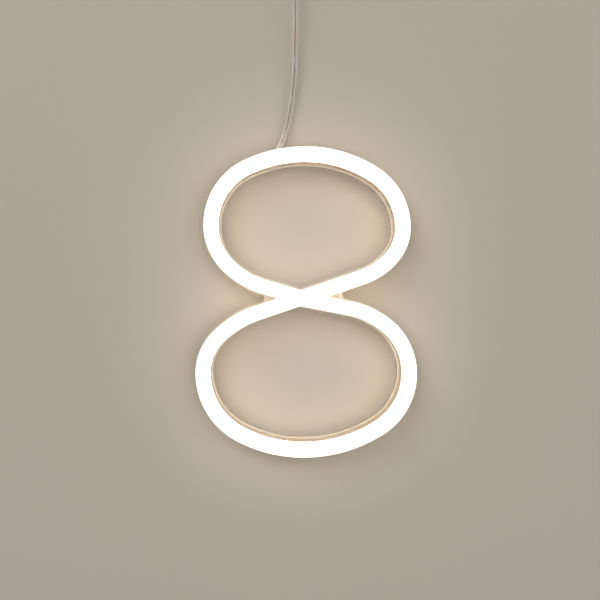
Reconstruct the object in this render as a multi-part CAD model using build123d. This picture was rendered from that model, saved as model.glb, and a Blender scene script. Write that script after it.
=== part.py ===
from build123d import *
import math
import os
from itertools import accumulate
from typing import NamedTuple

# A wall sign: the numeral eight drawn in one stroke of neon-style LED flex on a
# clear plate cut to the stroke, with its low-voltage cord, inline switch and plug.
#
# Frame, in millimetres: x to the right, z up, and the wall is the plane y = 0. The
# sign stands out of the wall towards -y, so a depth below is a distance in front of
# the wall, and a place in the plane of the wall is a pair (x, z). The origin is on
# the wall behind the point where the stroke crosses itself.

# The stroke's centre line: how far each loop reaches from the crossing, and where
# along the other direction it reaches that far.
UPPER_HEIGHT = 82.5
UPPER_TOP_RIGHT_OF_CROSSING = 2.75
UPPER_LEFT_REACH = 52.0
UPPER_LEFT_HEIGHT = 41.5
UPPER_RIGHT_REACH = 58.75
UPPER_RIGHT_HEIGHT = 40.5
LOWER_DROP = 88.0
LOWER_BOTTOM_RIGHT_OF_CROSSING = 2.0
LOWER_LEFT_REACH = 56.75
LOWER_LEFT_DROP = 42.75
LOWER_RIGHT_REACH = 62.75
LOWER_RIGHT_DROP = 44.0

# The straight limbs at the crossing. The diagonal runs through it, and the two ends
# of the flex butt against the diagonal's sides.
DIAGONAL_SLOPE = 18.75
DIAGONAL_ABOVE = 38.0
DIAGONAL_BELOW = 27.5
FIRST_LIMB_SLOPE = 16.5
FIRST_LIMB_LENGTH = 23.0
LAST_LIMB_SLOPE = 11.0
LAST_LIMB_LENGTH = 28.5
LAST_LIMB_DROP = 0.7
LIMB_OVERLAP = 1.0

# Between two of those places the line is two tangent arcs. A lean is the first
# arc's tangent length over the second's.
UPPER_LEANS = (1.05, 1.35, 1.05, 0.7)
LOWER_LEANS = (1.2, 1.25, 1.1, 1.35)

# Layers, from the wall outwards
DOT_THICKNESS = 0.8
DOT_DIAMETER = 8.0
PLATE_THICKNESS = 3.0
PLATE_OVERHANG = 1.0
NOTCH_RADIUS = 2.3
BOND_THICKNESS = 0.2
BOND_MARGIN = 0.5
FLEX_WIDTH = 8.0
FLEX_DEPTH = 15.0
FLEX_SHOULDER_RADIUS = 2.4
CHANNEL_DEPTH = 7.5
CHANNEL_FLOOR = 1.6
CHANNEL_WALL = 1.2
FRONT_THICKNESS = 3.0
LIP_DEPTH = 2.0
LIP_WALL = 0.7
LIP_CLEARANCE = 0.1

# The two end caps
CAP_THICKNESS = 1.2
CAP_PLUG_LENGTH = 3.0
CAP_CLEARANCE = 0.15

# The LED strip inside the flex
STRIP_CLEARANCE = 0.3
STRIP_THICKNESS = 0.3
STRIP_START = 22.0
STRIP_SPARE = 2.0
CUT_PITCH = 25.0
LEDS_PER_CUT = 3
LED_LENGTH = 3.5
LED_WIDTH = 2.8
LED_HEIGHT = 0.8
WINDOW_DIAMETER = 2.2
WINDOW_HEIGHT = 0.06
RESISTOR_LENGTH = 2.0
RESISTOR_WIDTH = 1.25
RESISTOR_HEIGHT = 0.5
PAD_LENGTH = 2.0
PAD_MARGIN = 0.4
PAD_GAP = 1.0
PAD_HEIGHT = 0.05

# The feed: where the cord's wires come through the plate and the channel
FEED_BEFORE_TOP = 19.0
FEED_HOLE_DIAMETER = 3.8
WIRE_DIAMETER = 0.8
WIRE_SPACING = 1.1
WIRE_BEND_RADIUS = 0.7
SOLDER_DIAMETER = 1.4
SOLDER_TIP_DIAMETER = 1.0
SOLDER_HEIGHT = 0.5

# The gland that holds the cord in a slot of the plate
GLAND_SIDE_WALL = 0.9
GLAND_FACE_WALL = 0.2
GLAND_PROUD = 1.0
GLAND_TAPER_LENGTH = 5.5
GLAND_ROOT_WALL = 0.7
GLAND_TIP_WALL = 0.5
GLAND_CLEARANCE = 0.05

# The cord. The points of its route are how far they lie to the right of the top of
# the stroke's centre line, above it, and in front of the cord where it is in its slot.
CORD_DIAMETER = 2.6
CORD_JACKET_FROM_FEED = 3.5
CORD_ROUTE = (
    (-11.65, 13.5, 0.0),
    (-8.35, 30.5, 0.7),
    (-6.35, 48.5, 1.6),
    (-6.05, 69.5, 2.9),
    (-6.15, 88.0, 4.3),
)

# The inline rocker switch, which hangs in the line of the cord
SWITCH_RIGHT_OF_TOP = -6.15
SWITCH_ABOVE_TOP = 127.5
SWITCH_WIDTH = 14.0
SWITCH_LENGTH = 40.0
SWITCH_HALF_DEPTH = 6.0
SWITCH_WALL = 1.5
SWITCH_END_WALL = 4.5
SWITCH_CORNER = 4.0
SWITCH_EDGE_RADIUS = 1.2
SWITCH_PARTING_CHAMFER = 0.2
BOOT_LENGTH = 6.0
BOOT_ROOT_WALL = 1.1
BOOT_TIP_WALL = 0.5
BOOT_FLANGE_WIDTH = 0.6
BOOT_FLANGE_THICKNESS = 1.0
BOOT_CLEARANCE = 0.05

# The rocker, its pin and the contacts under it
ROCKER_WIDTH = 7.4
ROCKER_LENGTH = 12.6
ROCKER_PROUD = 1.1
ROCKER_FACE_DROP = 0.9
ROCKER_FLANK_DRAFT = 0.7
ROCKER_EDGE_RADIUS = 0.8
ROCKER_TILT = 8.0
ROCKER_WINDOW_GAP = 0.7
ROCKER_SIDE_GAP = 0.3
MARK_DEPTH = 0.2
MARK_SIZE = 2.0
MARK_LINE = 0.4
PIVOT_BELOW_FACE = 2.9
PIVOT_DIAMETER = 2.0
PIVOT_CLEARANCE = 0.05
PIVOT_WALL = 0.6
EAR_LENGTH = 5.0
EAR_WALL = 1.0
CONTACT_THICKNESS = 0.4
CONTACT_WIDTH = 6.2
CONTACT_LENGTH = 10.0
CONTACT_CORNER = 1.0
CONTACT_GAP = 0.1
POST_SIZE = 1.6
POST_INSET = 0.3
POST_OVERHANG = 0.4
POST_WIRE_DROP = 2.5
THROUGH_WIRE_DROP = 3.6
INNER_WIRE_BEND_SHARE = 0.3
INNER_WIRE_FROM_WALL = 0.9

# The two screws that hold the switch's halves together
SCREW_DIAMETER = 1.6
SCREW_HEAD_DIAMETER = 3.2
SCREW_HEAD_HEIGHT = 1.2
SCREW_SLOT_WIDTH = 0.6
SCREW_SLOT_LENGTH = 2.4
SCREW_SLOT_DEPTH = 0.6
SCREW_TIP_MARGIN = 2.0
SCREW_CLEARANCE = 0.1
BOSS_DIAMETER = 3.6
BOSS_INTO_WALL = 0.3
BOSS_FROM_BOOT = 0.3

# The coil of spare cord, its tie and the wall hook that carries it
COIL_DIAMETER = 31.0
COIL_ABOVE_SWITCH = 58.0
COIL_TURNS_ACROSS = 4
TURN_GAP = 0.05
COIL_CLEARANCE = 0.1
TIE_THICKNESS = 0.9
TIE_WIDTH = 6.0
TIE_CLEARANCE = 0.1
HOOK_PAD_THICKNESS = 0.8
HOOK_BASE_THICKNESS = 1.3
HOOK_BASE_WIDTH = 15.0
HOOK_BASE_HEIGHT = 24.0
HOOK_BASE_BELOW_ARM = 1.5
HOOK_BASE_CORNER = 3.0
HOOK_ARM_DIAMETER = 5.0
HOOK_TIP_CLEARANCE = 0.4
HOOK_TIP_RISE = 8.5
HOOK_BEND_INSIDE = 0.5

# The plug on the cord's end
TAIL_LENGTH = 24.0
PLUG_BOOT_LENGTH = 8.0
PLUG_BOOT_TIP_DIAMETER = 3.8
PLUG_BOOT_ROOT_DIAMETER = 6.0
PLUG_BOOT_GROOVES = 3
PLUG_BOOT_GROOVE_WIDTH = 0.7
PLUG_BOOT_GROOVE_CORE = 2.9
PLUG_BODY_DIAMETER = 10.0
PLUG_BODY_LENGTH = 22.0
PLUG_EDGE_RADIUS = 1.2
PLUG_GROOVE_COUNT = 16
PLUG_GROOVE_DEPTH = 0.35
PLUG_GROOVE_WIDTH = 0.8
PLUG_GROOVE_MARGIN = 4.0
BARREL_DIAMETER = 5.5
BARREL_LENGTH = 9.5
BARREL_WALL = 0.4
SOCKET_DIAMETER = 2.1
SOCKET_WALL = 0.3
TIP_RING_LENGTH = 0.9

# Sizes and depths worked out from those above
PLATE_BACK = DOT_THICKNESS
PLATE_FRONT = PLATE_BACK + PLATE_THICKNESS
FLEX_BACK = PLATE_FRONT + BOND_THICKNESS
FLEX_FRONT = FLEX_BACK + FLEX_DEPTH
STRIP_BACK = FLEX_BACK + CHANNEL_FLOOR
STRIP_FRONT = STRIP_BACK + STRIP_THICKNESS
CHANNEL_FRONT = FLEX_BACK + CHANNEL_DEPTH
CHAMBER_FRONT = FLEX_FRONT - FRONT_THICKNESS
CHANNEL_INSIDE = FLEX_WIDTH - 2 * CHANNEL_WALL
LIP_WIDTH = CHANNEL_INSIDE - 2 * LIP_CLEARANCE
CHAMBER_WIDTH = LIP_WIDTH - 2 * LIP_WALL
STRIP_WIDTH = CHANNEL_INSIDE - 2 * STRIP_CLEARANCE
PAD_WIDTH = (STRIP_WIDTH - 2 * PAD_MARGIN - PAD_GAP) / 2
PAD_OFFSET = (PAD_WIDTH + PAD_GAP) / 2
CORD_RADIUS = CORD_DIAMETER / 2
SLOT_WIDTH = CORD_DIAMETER + 2 * GLAND_SIDE_WALL
SLOT_DEPTH = PLATE_FRONT - GLAND_FACE_WALL - CORD_RADIUS
COIL_SECTION = COIL_TURNS_ACROSS * (CORD_DIAMETER + TURN_GAP)
HANGING_DEPTH = HOOK_PAD_THICKNESS + HOOK_BASE_THICKNESS + COIL_CLEARANCE + COIL_SECTION / 2
SWITCH_X = UPPER_TOP_RIGHT_OF_CROSSING + SWITCH_RIGHT_OF_TOP
SWITCH_Z = UPPER_HEIGHT + SWITCH_ABOVE_TOP
SWITCH_BACK = HANGING_DEPTH - SWITCH_HALF_DEPTH
SWITCH_FRONT = HANGING_DEPTH + SWITCH_HALF_DEPTH
SWITCH_FLOOR = SWITCH_BACK + SWITCH_WALL
SWITCH_CEILING = SWITCH_FRONT - SWITCH_WALL
CORD_STOP = SWITCH_LENGTH / 2 - SWITCH_END_WALL
PIVOT_DEPTH = SWITCH_FRONT - PIVOT_BELOW_FACE
ROCKER_UNDERSIDE = PIVOT_DIAMETER / 2 + PIVOT_WALL
POST_X = (CONTACT_WIDTH - POST_SIZE) / 2 - POST_INSET
POST_Z = CONTACT_LENGTH / 2 - POST_OVERHANG
SCREW_X = SWITCH_WIDTH / 2 - SWITCH_WALL + BOSS_INTO_WALL - BOSS_DIAMETER / 2
SCREW_Z = CORD_STOP - BOOT_FLANGE_THICKNESS - BOSS_FROM_BOOT - BOSS_DIAMETER / 2
SCREW_TIP = SWITCH_CEILING - SCREW_TIP_MARGIN
COIL_X = SWITCH_X + COIL_DIAMETER / 2
COIL_Z = SWITCH_Z + COIL_ABOVE_SWITCH
HOOK_ARM_Z = COIL_Z + (COIL_DIAMETER - COIL_SECTION) / 2 - COIL_CLEARANCE - HOOK_ARM_DIAMETER / 2
HOOK_TIP_DEPTH = HANGING_DEPTH + COIL_SECTION / 2 + HOOK_TIP_CLEARANCE + HOOK_ARM_DIAMETER / 2
TAIL_X = COIL_X + COIL_DIAMETER / 2
PLUG_TOP = COIL_Z - TAIL_LENGTH
PLUG_BODY_TOP = PLUG_TOP - PLUG_BOOT_LENGTH
PLUG_FACE = PLUG_BODY_TOP - PLUG_BODY_LENGTH
PLUG_TIP = PLUG_FACE - BARREL_LENGTH


class Station(NamedTuple):
    """A place on the stroke's centre line, and the heading there in degrees."""

    x: float
    z: float
    heading: float


def direction(degrees):
    """The unit vector in the plane of the wall at an angle from +x towards +z."""
    return Vector(math.cos(math.radians(degrees)), math.sin(math.radians(degrees)))


def moved(station, along=0.0, aside=0.0):
    """A station moved along its heading and to its left."""
    place = Vector(station.x, station.z)
    place += direction(station.heading) * along
    place += direction(station.heading + 90) * aside
    return Station(place.X, place.Y, station.heading)


def meeting_station(a, b, lean):
    """Where two tangent arcs from one station to another meet."""
    start, end = Vector(a.x, a.z), Vector(b.x, b.z)
    leaving, arriving = direction(a.heading), direction(b.heading)
    chord = end - start
    square = 2 * lean * (leaving.dot(arriving) - 1)
    middle = -2 * chord.dot(leaving * lean + arriving)
    second = (-middle - math.sqrt(middle**2 - 4 * square * chord.dot(chord))) / (2 * square)
    first = lean * second
    place = ((start + leaving * first) * second + (end - arriving * second) * first) / (first + second)
    to_place = place - start
    heading = 2 * math.degrees(math.atan2(to_place.Y, to_place.X)) - a.heading
    return Station(place.X, place.Y, heading)


def with_arcs(stations, leans):
    """The stations with a meeting station added between each two."""
    line = [stations[0]]
    for a, b, lean in zip(stations, stations[1:], leans):
        line += [meeting_station(a, b, lean), b]
    return line


# The stroke in three runs: up round the left of the upper loop to its top, on
# through the crossing to the bottom of the lower loop, and back up to the crossing.
crossing_first = Station(0, 0, 180 - FIRST_LIMB_SLOPE)
upper_left = Station(-UPPER_LEFT_REACH, UPPER_LEFT_HEIGHT, 90)
upper_top = Station(UPPER_TOP_RIGHT_OF_CROSSING, UPPER_HEIGHT, 0)
upper_right = Station(UPPER_RIGHT_REACH, UPPER_RIGHT_HEIGHT, -90)
crossing = Station(0, 0, DIAGONAL_SLOPE - 180)
lower_left = Station(-LOWER_LEFT_REACH, -LOWER_LEFT_DROP, -90)
lower_bottom = Station(LOWER_BOTTOM_RIGHT_OF_CROSSING, -LOWER_DROP, 0)
lower_right = Station(LOWER_RIGHT_REACH, -LOWER_RIGHT_DROP, 90)
crossing_last = Station(0, -LAST_LIMB_DROP, 180 - LAST_LIMB_SLOPE)

first_bend = moved(crossing_first, FIRST_LIMB_LENGTH)
diagonal_top = moved(crossing, -DIAGONAL_ABOVE)
diagonal_foot = moved(crossing, DIAGONAL_BELOW)
last_bend = moved(crossing_last, -LAST_LIMB_LENGTH)

FIRST_RUN = with_arcs([first_bend, upper_left, upper_top], UPPER_LEANS[:2])
THROUGH_RUN = with_arcs([upper_top, upper_right, diagonal_top], UPPER_LEANS[2:])
THROUGH_RUN += with_arcs([diagonal_foot, lower_left, lower_bottom], LOWER_LEANS[:2])
LAST_RUN = with_arcs([lower_bottom, lower_right, last_bend], LOWER_LEANS[2:])


def line_edges(stations, aside=0.0):
    """The arcs and straight lines along stations, at a distance to the left."""
    edges = []
    for a, b in zip(stations, stations[1:]):
        start, end = moved(a, aside=aside), moved(b, aside=aside)
        ends = (start.x, start.z), (end.x, end.z)
        straight = abs((a.heading - b.heading + 180) % 360 - 180) < 1e-6
        edges.append(Line(*ends) if straight else TangentArc(*ends, tangent=direction(a.heading)))
    return edges


def band(stations, width):
    """The face along stations, as wide as stated, with square ends."""
    left = line_edges(stations, width / 2)
    right = line_edges(stations, -width / 2)
    ends = [Line(left[0] @ 0, right[0] @ 0), Line(left[-1] @ 1, right[-1] @ 1)]
    return make_face(left + right + ends)


def first_run(start=-LIMB_OVERLAP):
    """The first run's stations, starting a distance along it from the crossing."""
    return [moved(crossing_first, start), *FIRST_RUN]


def last_run(stop=-LIMB_OVERLAP):
    """The last run's stations, stopping a distance before the crossing."""
    return [*LAST_RUN, moved(crossing_last, -stop)]


def diagonal_band(setback):
    """The band of the through run, wider than the flex by a setback on each side."""
    return band(THROUGH_RUN, FLEX_WIDTH + 2 * setback)


def stroke(width, setback=None):
    """The whole stroke's face; with a setback, its two ends stop short of the diagonal."""
    first = band(first_run(), width)
    last = band(last_run(), width)
    if setback is not None:
        first -= diagonal_band(setback)
        last -= diagonal_band(setback)
    return band(THROUGH_RUN, width) + first + last


def slab(face, back, front):
    """A face in the plane of the wall, made solid between two depths."""
    return extrude(Plane.XZ.offset(back) * face, amount=front - back)


def block(size, place, back, front, radius=0.0):
    """A box with rounded corners, by its size and centre in x and z."""
    outline = RectangleRounded(*size, radius) if radius else Rectangle(*size)
    return slab(Pos(*place) * outline, back, front)


def at(x, z, depth):
    """The point at a place on the wall and a depth in front of it."""
    return Vector(x, -depth, z)


def rod_along_z(x, depth, bottom, top, radius, top_radius=None):
    """A round bar or taper standing along z."""
    height = top - bottom
    end_radius = radius if top_radius is None else top_radius
    shape = Cylinder(radius, height) if end_radius == radius else Cone(radius, end_radius, height)
    return Pos(x, -depth, (bottom + top) / 2) * shape


def rod_along_depth(x, z, back, front, radius):
    """A round bar standing out of the wall."""
    return slab(Pos(x, z) * Circle(radius), back, front)


def rod_along_x(left, right, z, depth, radius):
    """A round bar along x."""
    return Pos((left + right) / 2, -depth, z) * Rot(0, 90, 0) * Cylinder(radius, right - left)


def tube_through(points, radius, bends):
    """A round bar swept along straight runs joined by arcs of the radii in bends."""
    path = FilletPolyline(*points, radius=bends)
    section = Plane(path @ 0, z_dir=path % 0) * Circle(radius)
    return sweep(section, path=path)


def wire_through(points):
    """An insulated wire with small bends."""
    return tube_through(points, WIRE_DIAMETER / 2, WIRE_BEND_RADIUS)


def route_radii(points):
    """For each corner of a route, 0.45 of the shorter run over the tangent of half the turn."""
    radii = []
    for a, b, c in zip(points, points[1:], points[2:]):
        turn = (b - a).get_angle(c - b)
        shorter = min((b - a).length, (c - b).length)
        radii.append(0.45 * shorter / math.tan(math.radians(turn / 2)))
    return radii


WHOLE_LINE = first_run(0) + THROUGH_RUN[1:] + last_run(0)[1:]
CENTRE_LINE = Wire(line_edges(WHOLE_LINE))
FEED_ALONG = sum(edge.length for edge in line_edges(first_run(0))) - FEED_BEFORE_TOP


def station_at(along):
    """The station at a distance along the whole centre line."""
    place = CENTRE_LINE.position_at(along, position_mode=PositionMode.LENGTH)
    heading = CENTRE_LINE.tangent_at(along, position_mode=PositionMode.LENGTH)
    return Station(place.X, place.Y, math.degrees(math.atan2(heading.Y, heading.X)))


def part_of_line(start, stop):
    """The centre line's stations between two distances along it, with one at each end."""
    places = [0, *accumulate(edge.length for edge in line_edges(WHOLE_LINE))]
    kept = [station for station, place in zip(WHOLE_LINE, places) if start < place < stop]
    return [station_at(start), *kept, station_at(stop)]


def on_line(along, depth, aside=0.0):
    """The frame at a distance along the centre line: x along it, z out of the wall."""
    station = moved(station_at(along), aside=aside)
    heading = direction(station.heading)
    return Plane(at(station.x, station.z, depth), x_dir=(heading.X, 0, heading.Y), z_dir=(0, -1, 0))


def placed(shape, frame, height):
    """A shape centred on its own origin, standing on a frame."""
    return frame * Pos(0, 0, height / 2) * shape


def front_long_edges(solid, run, width):
    """A band solid's edges at the flex's front, without those across its two ends."""
    ends = [at(station.x, station.z, FLEX_FRONT) for station in (run[0], run[-1])]
    front = solid.faces().sort_by(Axis.Y)[0]
    return [e for e in front.edges() if min((e.center() - p).length for p in ends) > width / 4]


def rounded_band(run):
    """A run of the flex's outer body, with its two front edges rounded."""
    solid = slab(band(run, FLEX_WIDTH), FLEX_BACK, FLEX_FRONT)
    return fillet(front_long_edges(solid, run, FLEX_WIDTH), FLEX_SHOULDER_RADIUS)


FIRST_BODY = rounded_band(first_run())
THROUGH_BODY = rounded_band(THROUGH_RUN)
LAST_BODY = rounded_band(last_run())


def beyond_diagonal(setback):
    """The space within a setback of the diagonal's sides, at every depth of the flex."""
    return slab(diagonal_band(setback), FLEX_BACK - 1, FLEX_FRONT + 1)


def flex_body():
    """The flex's outer body, whose two ends leave room for the caps."""
    room = beyond_diagonal(CAP_THICKNESS)
    return THROUGH_BODY + (FIRST_BODY - room) + (LAST_BODY - room)


# The feed point and the direction in which the cord leaves it
feed = on_line(FEED_ALONG, SLOT_DEPTH).origin
route = [
    at(UPPER_TOP_RIGHT_OF_CROSSING + right, UPPER_HEIGHT + above, SLOT_DEPTH + forward)
    for right, above, forward in CORD_ROUTE
]
leaving = Vector(route[0].X - feed.X, 0, route[0].Z - feed.Z).normalized()
across = Vector(leaving.Z, 0, -leaving.X)
SLOT_ANGLE = math.degrees(math.atan2(leaving.Z, leaving.X))
SLOT_TO_EDGE = (FLEX_WIDTH / 2 + PLATE_OVERHANG) / math.sin(math.radians(SLOT_ANGLE)) + GLAND_PROUD


def slot_outline(width, start, end):
    """A strip of the cord slot between two distances from the feed."""
    strip = Pos((start + end) / 2, 0) * Rectangle(end - start, width)
    return Pos(feed.X, feed.Z) * Rot(0, 0, SLOT_ANGLE) * strip


def make_back_plate():
    """The clear plate cut to the stroke, with filled notches and the cord's slot."""
    outline = stroke(FLEX_WIDTH + 2 * PLATE_OVERHANG)
    outline = offset(offset(outline, NOTCH_RADIUS), -NOTCH_RADIUS)
    plate = slab(outline, PLATE_BACK, PLATE_FRONT)
    slot = slot_outline(SLOT_WIDTH, -FEED_HOLE_DIAMETER / 2, 3 * SLOT_TO_EDGE)
    return plate - slab(slot, PLATE_BACK, PLATE_FRONT)


def feed_hole(back, front):
    """The hole for the wires, at the feed."""
    return rod_along_depth(feed.X, feed.Z, back, front, FEED_HOLE_DIAMETER / 2)


def make_mounting_dots():
    """Round adhesive pads behind the crossing and the loops' furthest places."""
    stations = (crossing, upper_left, upper_right, lower_left, lower_bottom, lower_right)
    dots = [rod_along_depth(s.x, s.z, 0, DOT_THICKNESS, DOT_DIAMETER / 2) for s in stations]
    return Compound(dots)


def make_channel_bond():
    """The clear adhesive line between the plate and the channel."""
    bond = slab(stroke(FLEX_WIDTH - 2 * BOND_MARGIN, CAP_THICKNESS), PLATE_FRONT, FLEX_BACK)
    return bond - feed_hole(PLATE_FRONT, FLEX_BACK)


def make_neon_channel():
    """The flex's clear channel: a floor and two walls."""
    box = slab(stroke(FLEX_WIDTH, CAP_THICKNESS), FLEX_BACK, CHANNEL_FRONT)
    room = slab(stroke(CHANNEL_INSIDE, CAP_THICKNESS), STRIP_BACK, CHANNEL_FRONT)
    return box - room - feed_hole(FLEX_BACK, STRIP_BACK)


def make_neon_diffuser():
    """The flex's milky front, whose lip stands inside the channel's walls."""
    body = flex_body() - slab(stroke(2 * FLEX_WIDTH), FLEX_BACK - 1, CHANNEL_FRONT)
    body += slab(stroke(LIP_WIDTH, CAP_THICKNESS), CHANNEL_FRONT - LIP_DEPTH, CHANNEL_FRONT)
    return body - slab(stroke(CHAMBER_WIDTH, CAP_THICKNESS), CHANNEL_FRONT - LIP_DEPTH, CHAMBER_FRONT)


def make_end_cap(body, run):
    """A cap that closes one end against the diagonal's side, with a plug in the channel."""
    cap = (body & beyond_diagonal(CAP_THICKNESS)) - beyond_diagonal(0)
    plug_face = band(run, CHANNEL_INSIDE - 2 * CAP_CLEARANCE)
    plug = slab(plug_face, STRIP_BACK + CAP_CLEARANCE, CHANNEL_FRONT - LIP_DEPTH - CAP_CLEARANCE)
    plug = (plug & beyond_diagonal(CAP_THICKNESS + CAP_PLUG_LENGTH)) - beyond_diagonal(CAP_THICKNESS)
    return cap + plug


def strip_marks():
    """Distances of the strip's cut marks, one of which is at the feed."""
    first = math.ceil((STRIP_START + STRIP_SPARE - FEED_ALONG) / CUT_PITCH)
    last = math.floor((CENTRE_LINE.length - STRIP_START - STRIP_SPARE - FEED_ALONG) / CUT_PITCH)
    return [FEED_ALONG + n * CUT_PITCH for n in range(first, last + 1)]


MARKS = strip_marks()


def make_led_strip():
    """The flexible circuit strip on the channel's floor."""
    run = part_of_line(MARKS[0] - STRIP_SPARE, MARKS[-1] + STRIP_SPARE)
    strip = slab(band(run, STRIP_WIDTH), STRIP_BACK, STRIP_FRONT)
    hole = Cylinder(WIRE_DIAMETER / 2, 4 * STRIP_THICKNESS)
    for side in (1, -1):
        strip -= on_line(FEED_ALONG, STRIP_BACK, side * PAD_OFFSET) * hole
    return strip


def led_places():
    """Distances of the LEDs' centres."""
    pitch = CUT_PITCH / LEDS_PER_CUT
    return [mark + (n + 0.5) * pitch for mark in MARKS[:-1] for n in range(LEDS_PER_CUT)]


def make_led_chips():
    """The LEDs' white packages."""
    chip = Box(LED_LENGTH, LED_WIDTH, LED_HEIGHT)
    return Compound([placed(chip, on_line(s, STRIP_FRONT), LED_HEIGHT) for s in led_places()])


def make_led_windows():
    """The LEDs' yellow phosphor windows."""
    window = Cylinder(WINDOW_DIAMETER / 2, WINDOW_HEIGHT)
    depth = STRIP_FRONT + LED_HEIGHT
    return Compound([placed(window, on_line(s, depth), WINDOW_HEIGHT) for s in led_places()])


def make_strip_resistors():
    """One resistor in each length between cut marks."""
    body = Box(RESISTOR_LENGTH, RESISTOR_WIDTH, RESISTOR_HEIGHT)
    places = [mark + CUT_PITCH / LEDS_PER_CUT for mark in MARKS[:-1]]
    return Compound([placed(body, on_line(s, STRIP_FRONT), RESISTOR_HEIGHT) for s in places])


def make_strip_pads():
    """Two copper pads at each cut mark, holed at the feed."""
    pad = Box(PAD_LENGTH, PAD_WIDTH, PAD_HEIGHT)
    holed = pad - Cylinder(WIRE_DIAMETER / 2, 2 * PAD_HEIGHT)
    pads = []
    for mark in MARKS:
        shape = holed if abs(mark - FEED_ALONG) < 1e-6 else pad
        for side in (1, -1):
            pads.append(placed(shape, on_line(mark, STRIP_FRONT, side * PAD_OFFSET), PAD_HEIGHT))
    return Compound(pads)


def lead_points(side):
    """A lead wire's route: from the cord's end, under its pad and out through it."""
    start = feed + leaving * CORD_JACKET_FROM_FEED + across * (side * WIRE_SPACING / 2)
    under = on_line(FEED_ALONG, SLOT_DEPTH, -side * PAD_OFFSET).origin
    out = on_line(FEED_ALONG, STRIP_FRONT + PAD_HEIGHT + SOLDER_HEIGHT / 2, -side * PAD_OFFSET).origin
    return [start, under, out]


def make_solder_joints():
    """The two solder cones on the feed's pads, each round a wire's end."""
    cones = []
    for side in (1, -1):
        frame = on_line(FEED_ALONG, STRIP_FRONT + PAD_HEIGHT, side * PAD_OFFSET)
        cone = placed(Cone(SOLDER_DIAMETER / 2, SOLDER_TIP_DIAMETER / 2, SOLDER_HEIGHT), frame, SOLDER_HEIGHT)
        cones.append(cone - wire_through(lead_points(-side)))
    return Compound(cones)


def make_cord_gland():
    """The clear gland in the plate's slot, with its taper round the cord outside."""
    outline = slot_outline(SLOT_WIDTH, CORD_JACKET_FROM_FEED, SLOT_TO_EDGE)
    body = slab(outline, SLOT_DEPTH - CORD_RADIUS - GLAND_FACE_WALL, PLATE_FRONT)
    taper = Cone(CORD_RADIUS + GLAND_ROOT_WALL, CORD_RADIUS + GLAND_TIP_WALL, GLAND_TAPER_LENGTH)
    body += Plane(feed, z_dir=leaving) * Pos(0, 0, SLOT_TO_EDGE + GLAND_TAPER_LENGTH / 2) * taper
    bore = Cylinder(CORD_RADIUS + GLAND_CLEARANCE, 4 * (SLOT_TO_EDGE + GLAND_TAPER_LENGTH))
    return body - Plane(feed, z_dir=leaving) * bore


def cord_lower_points():
    """The lower cord's route, from the gland to its stop inside the switch."""
    start = feed + leaving * CORD_JACKET_FROM_FEED
    entry = at(SWITCH_X, SWITCH_Z - SWITCH_LENGTH / 2 - BOOT_LENGTH, HANGING_DEPTH)
    return [start, *route, entry]


def make_cord_lower():
    """The cord from the sign to the switch, as straight runs joined by tangent arcs."""
    points = cord_lower_points()
    radii = route_radii(points)
    print("cord radii", [round(r) for r in radii])
    tube = tube_through(points, CORD_RADIUS, radii)
    plain_volume = math.pi * CORD_RADIUS**2 * FilletPolyline(*points, radius=radii).length
    print("cord tube volume over section times length", round(tube.volume / plain_volume, 4))
    end = points[-1].Z
    return tube + rod_along_z(SWITCH_X, HANGING_DEPTH, end, SWITCH_Z - CORD_STOP, CORD_RADIUS)


def make_cord_upper():
    """The straight cord from the switch up to the coil."""
    cord = rod_along_z(SWITCH_X, HANGING_DEPTH, SWITCH_Z + CORD_STOP, COIL_Z, CORD_RADIUS)
    return cord - make_cord_coil()


def make_cord_tail():
    """The straight cord from the coil down to the plug."""
    return rod_along_z(TAIL_X, HANGING_DEPTH, PLUG_TOP, COIL_Z, CORD_RADIUS) - make_cord_coil()


def coil_ring(thickness, radius):
    """A ring on the coil's centre line with a square section and rounded edges."""
    ring = Circle((COIL_DIAMETER + thickness) / 2) - Circle((COIL_DIAMETER - thickness) / 2)
    half = thickness / 2
    solid = slab(Pos(COIL_X, COIL_Z) * ring, HANGING_DEPTH - half, HANGING_DEPTH + half)
    return fillet(solid.edges(), radius)


def make_cord_coil():
    """The outer shape of the coil."""
    return coil_ring(COIL_SECTION, CORD_RADIUS)


def make_coil_tie():
    """The strap round the coil's lowest place."""
    inside = COIL_SECTION + 2 * TIE_CLEARANCE
    strap = coil_ring(inside + 2 * TIE_THICKNESS, CORD_RADIUS + TIE_THICKNESS)
    strap -= coil_ring(inside, CORD_RADIUS)
    return strap & Pos(COIL_X, -HANGING_DEPTH, COIL_Z - COIL_DIAMETER / 2) * Box(
        TIE_WIDTH, 2 * COIL_SECTION, 2 * COIL_SECTION
    )


def hook_base(back, front):
    """The outline that the hook's base and its pad share, between two depths."""
    place = (COIL_X, HOOK_ARM_Z - HOOK_BASE_BELOW_ARM)
    return block((HOOK_BASE_WIDTH, HOOK_BASE_HEIGHT), place, back, front, HOOK_BASE_CORNER)


def make_cord_hook():
    """The wall hook: a base plate and an arm that turns up at its end."""
    base = hook_base(HOOK_PAD_THICKNESS, HOOK_PAD_THICKNESS + HOOK_BASE_THICKNESS)
    points = [
        at(COIL_X, HOOK_ARM_Z, HOOK_PAD_THICKNESS),
        at(COIL_X, HOOK_ARM_Z, HOOK_TIP_DEPTH),
        at(COIL_X, HOOK_ARM_Z + HOOK_TIP_RISE, HOOK_TIP_DEPTH),
    ]
    arm = tube_through(points, HOOK_ARM_DIAMETER / 2, HOOK_ARM_DIAMETER / 2 + HOOK_BEND_INSIDE)
    return base + arm + Pos(*points[-1]) * Sphere(HOOK_ARM_DIAMETER / 2)


def make_hook_pad():
    """The hook's adhesive pad."""
    return hook_base(0, HOOK_PAD_THICKNESS)


def in_switch(place):
    """A place measured from the switch's centre, in x and z."""
    return SWITCH_X + place[0], SWITCH_Z + place[1]


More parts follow.
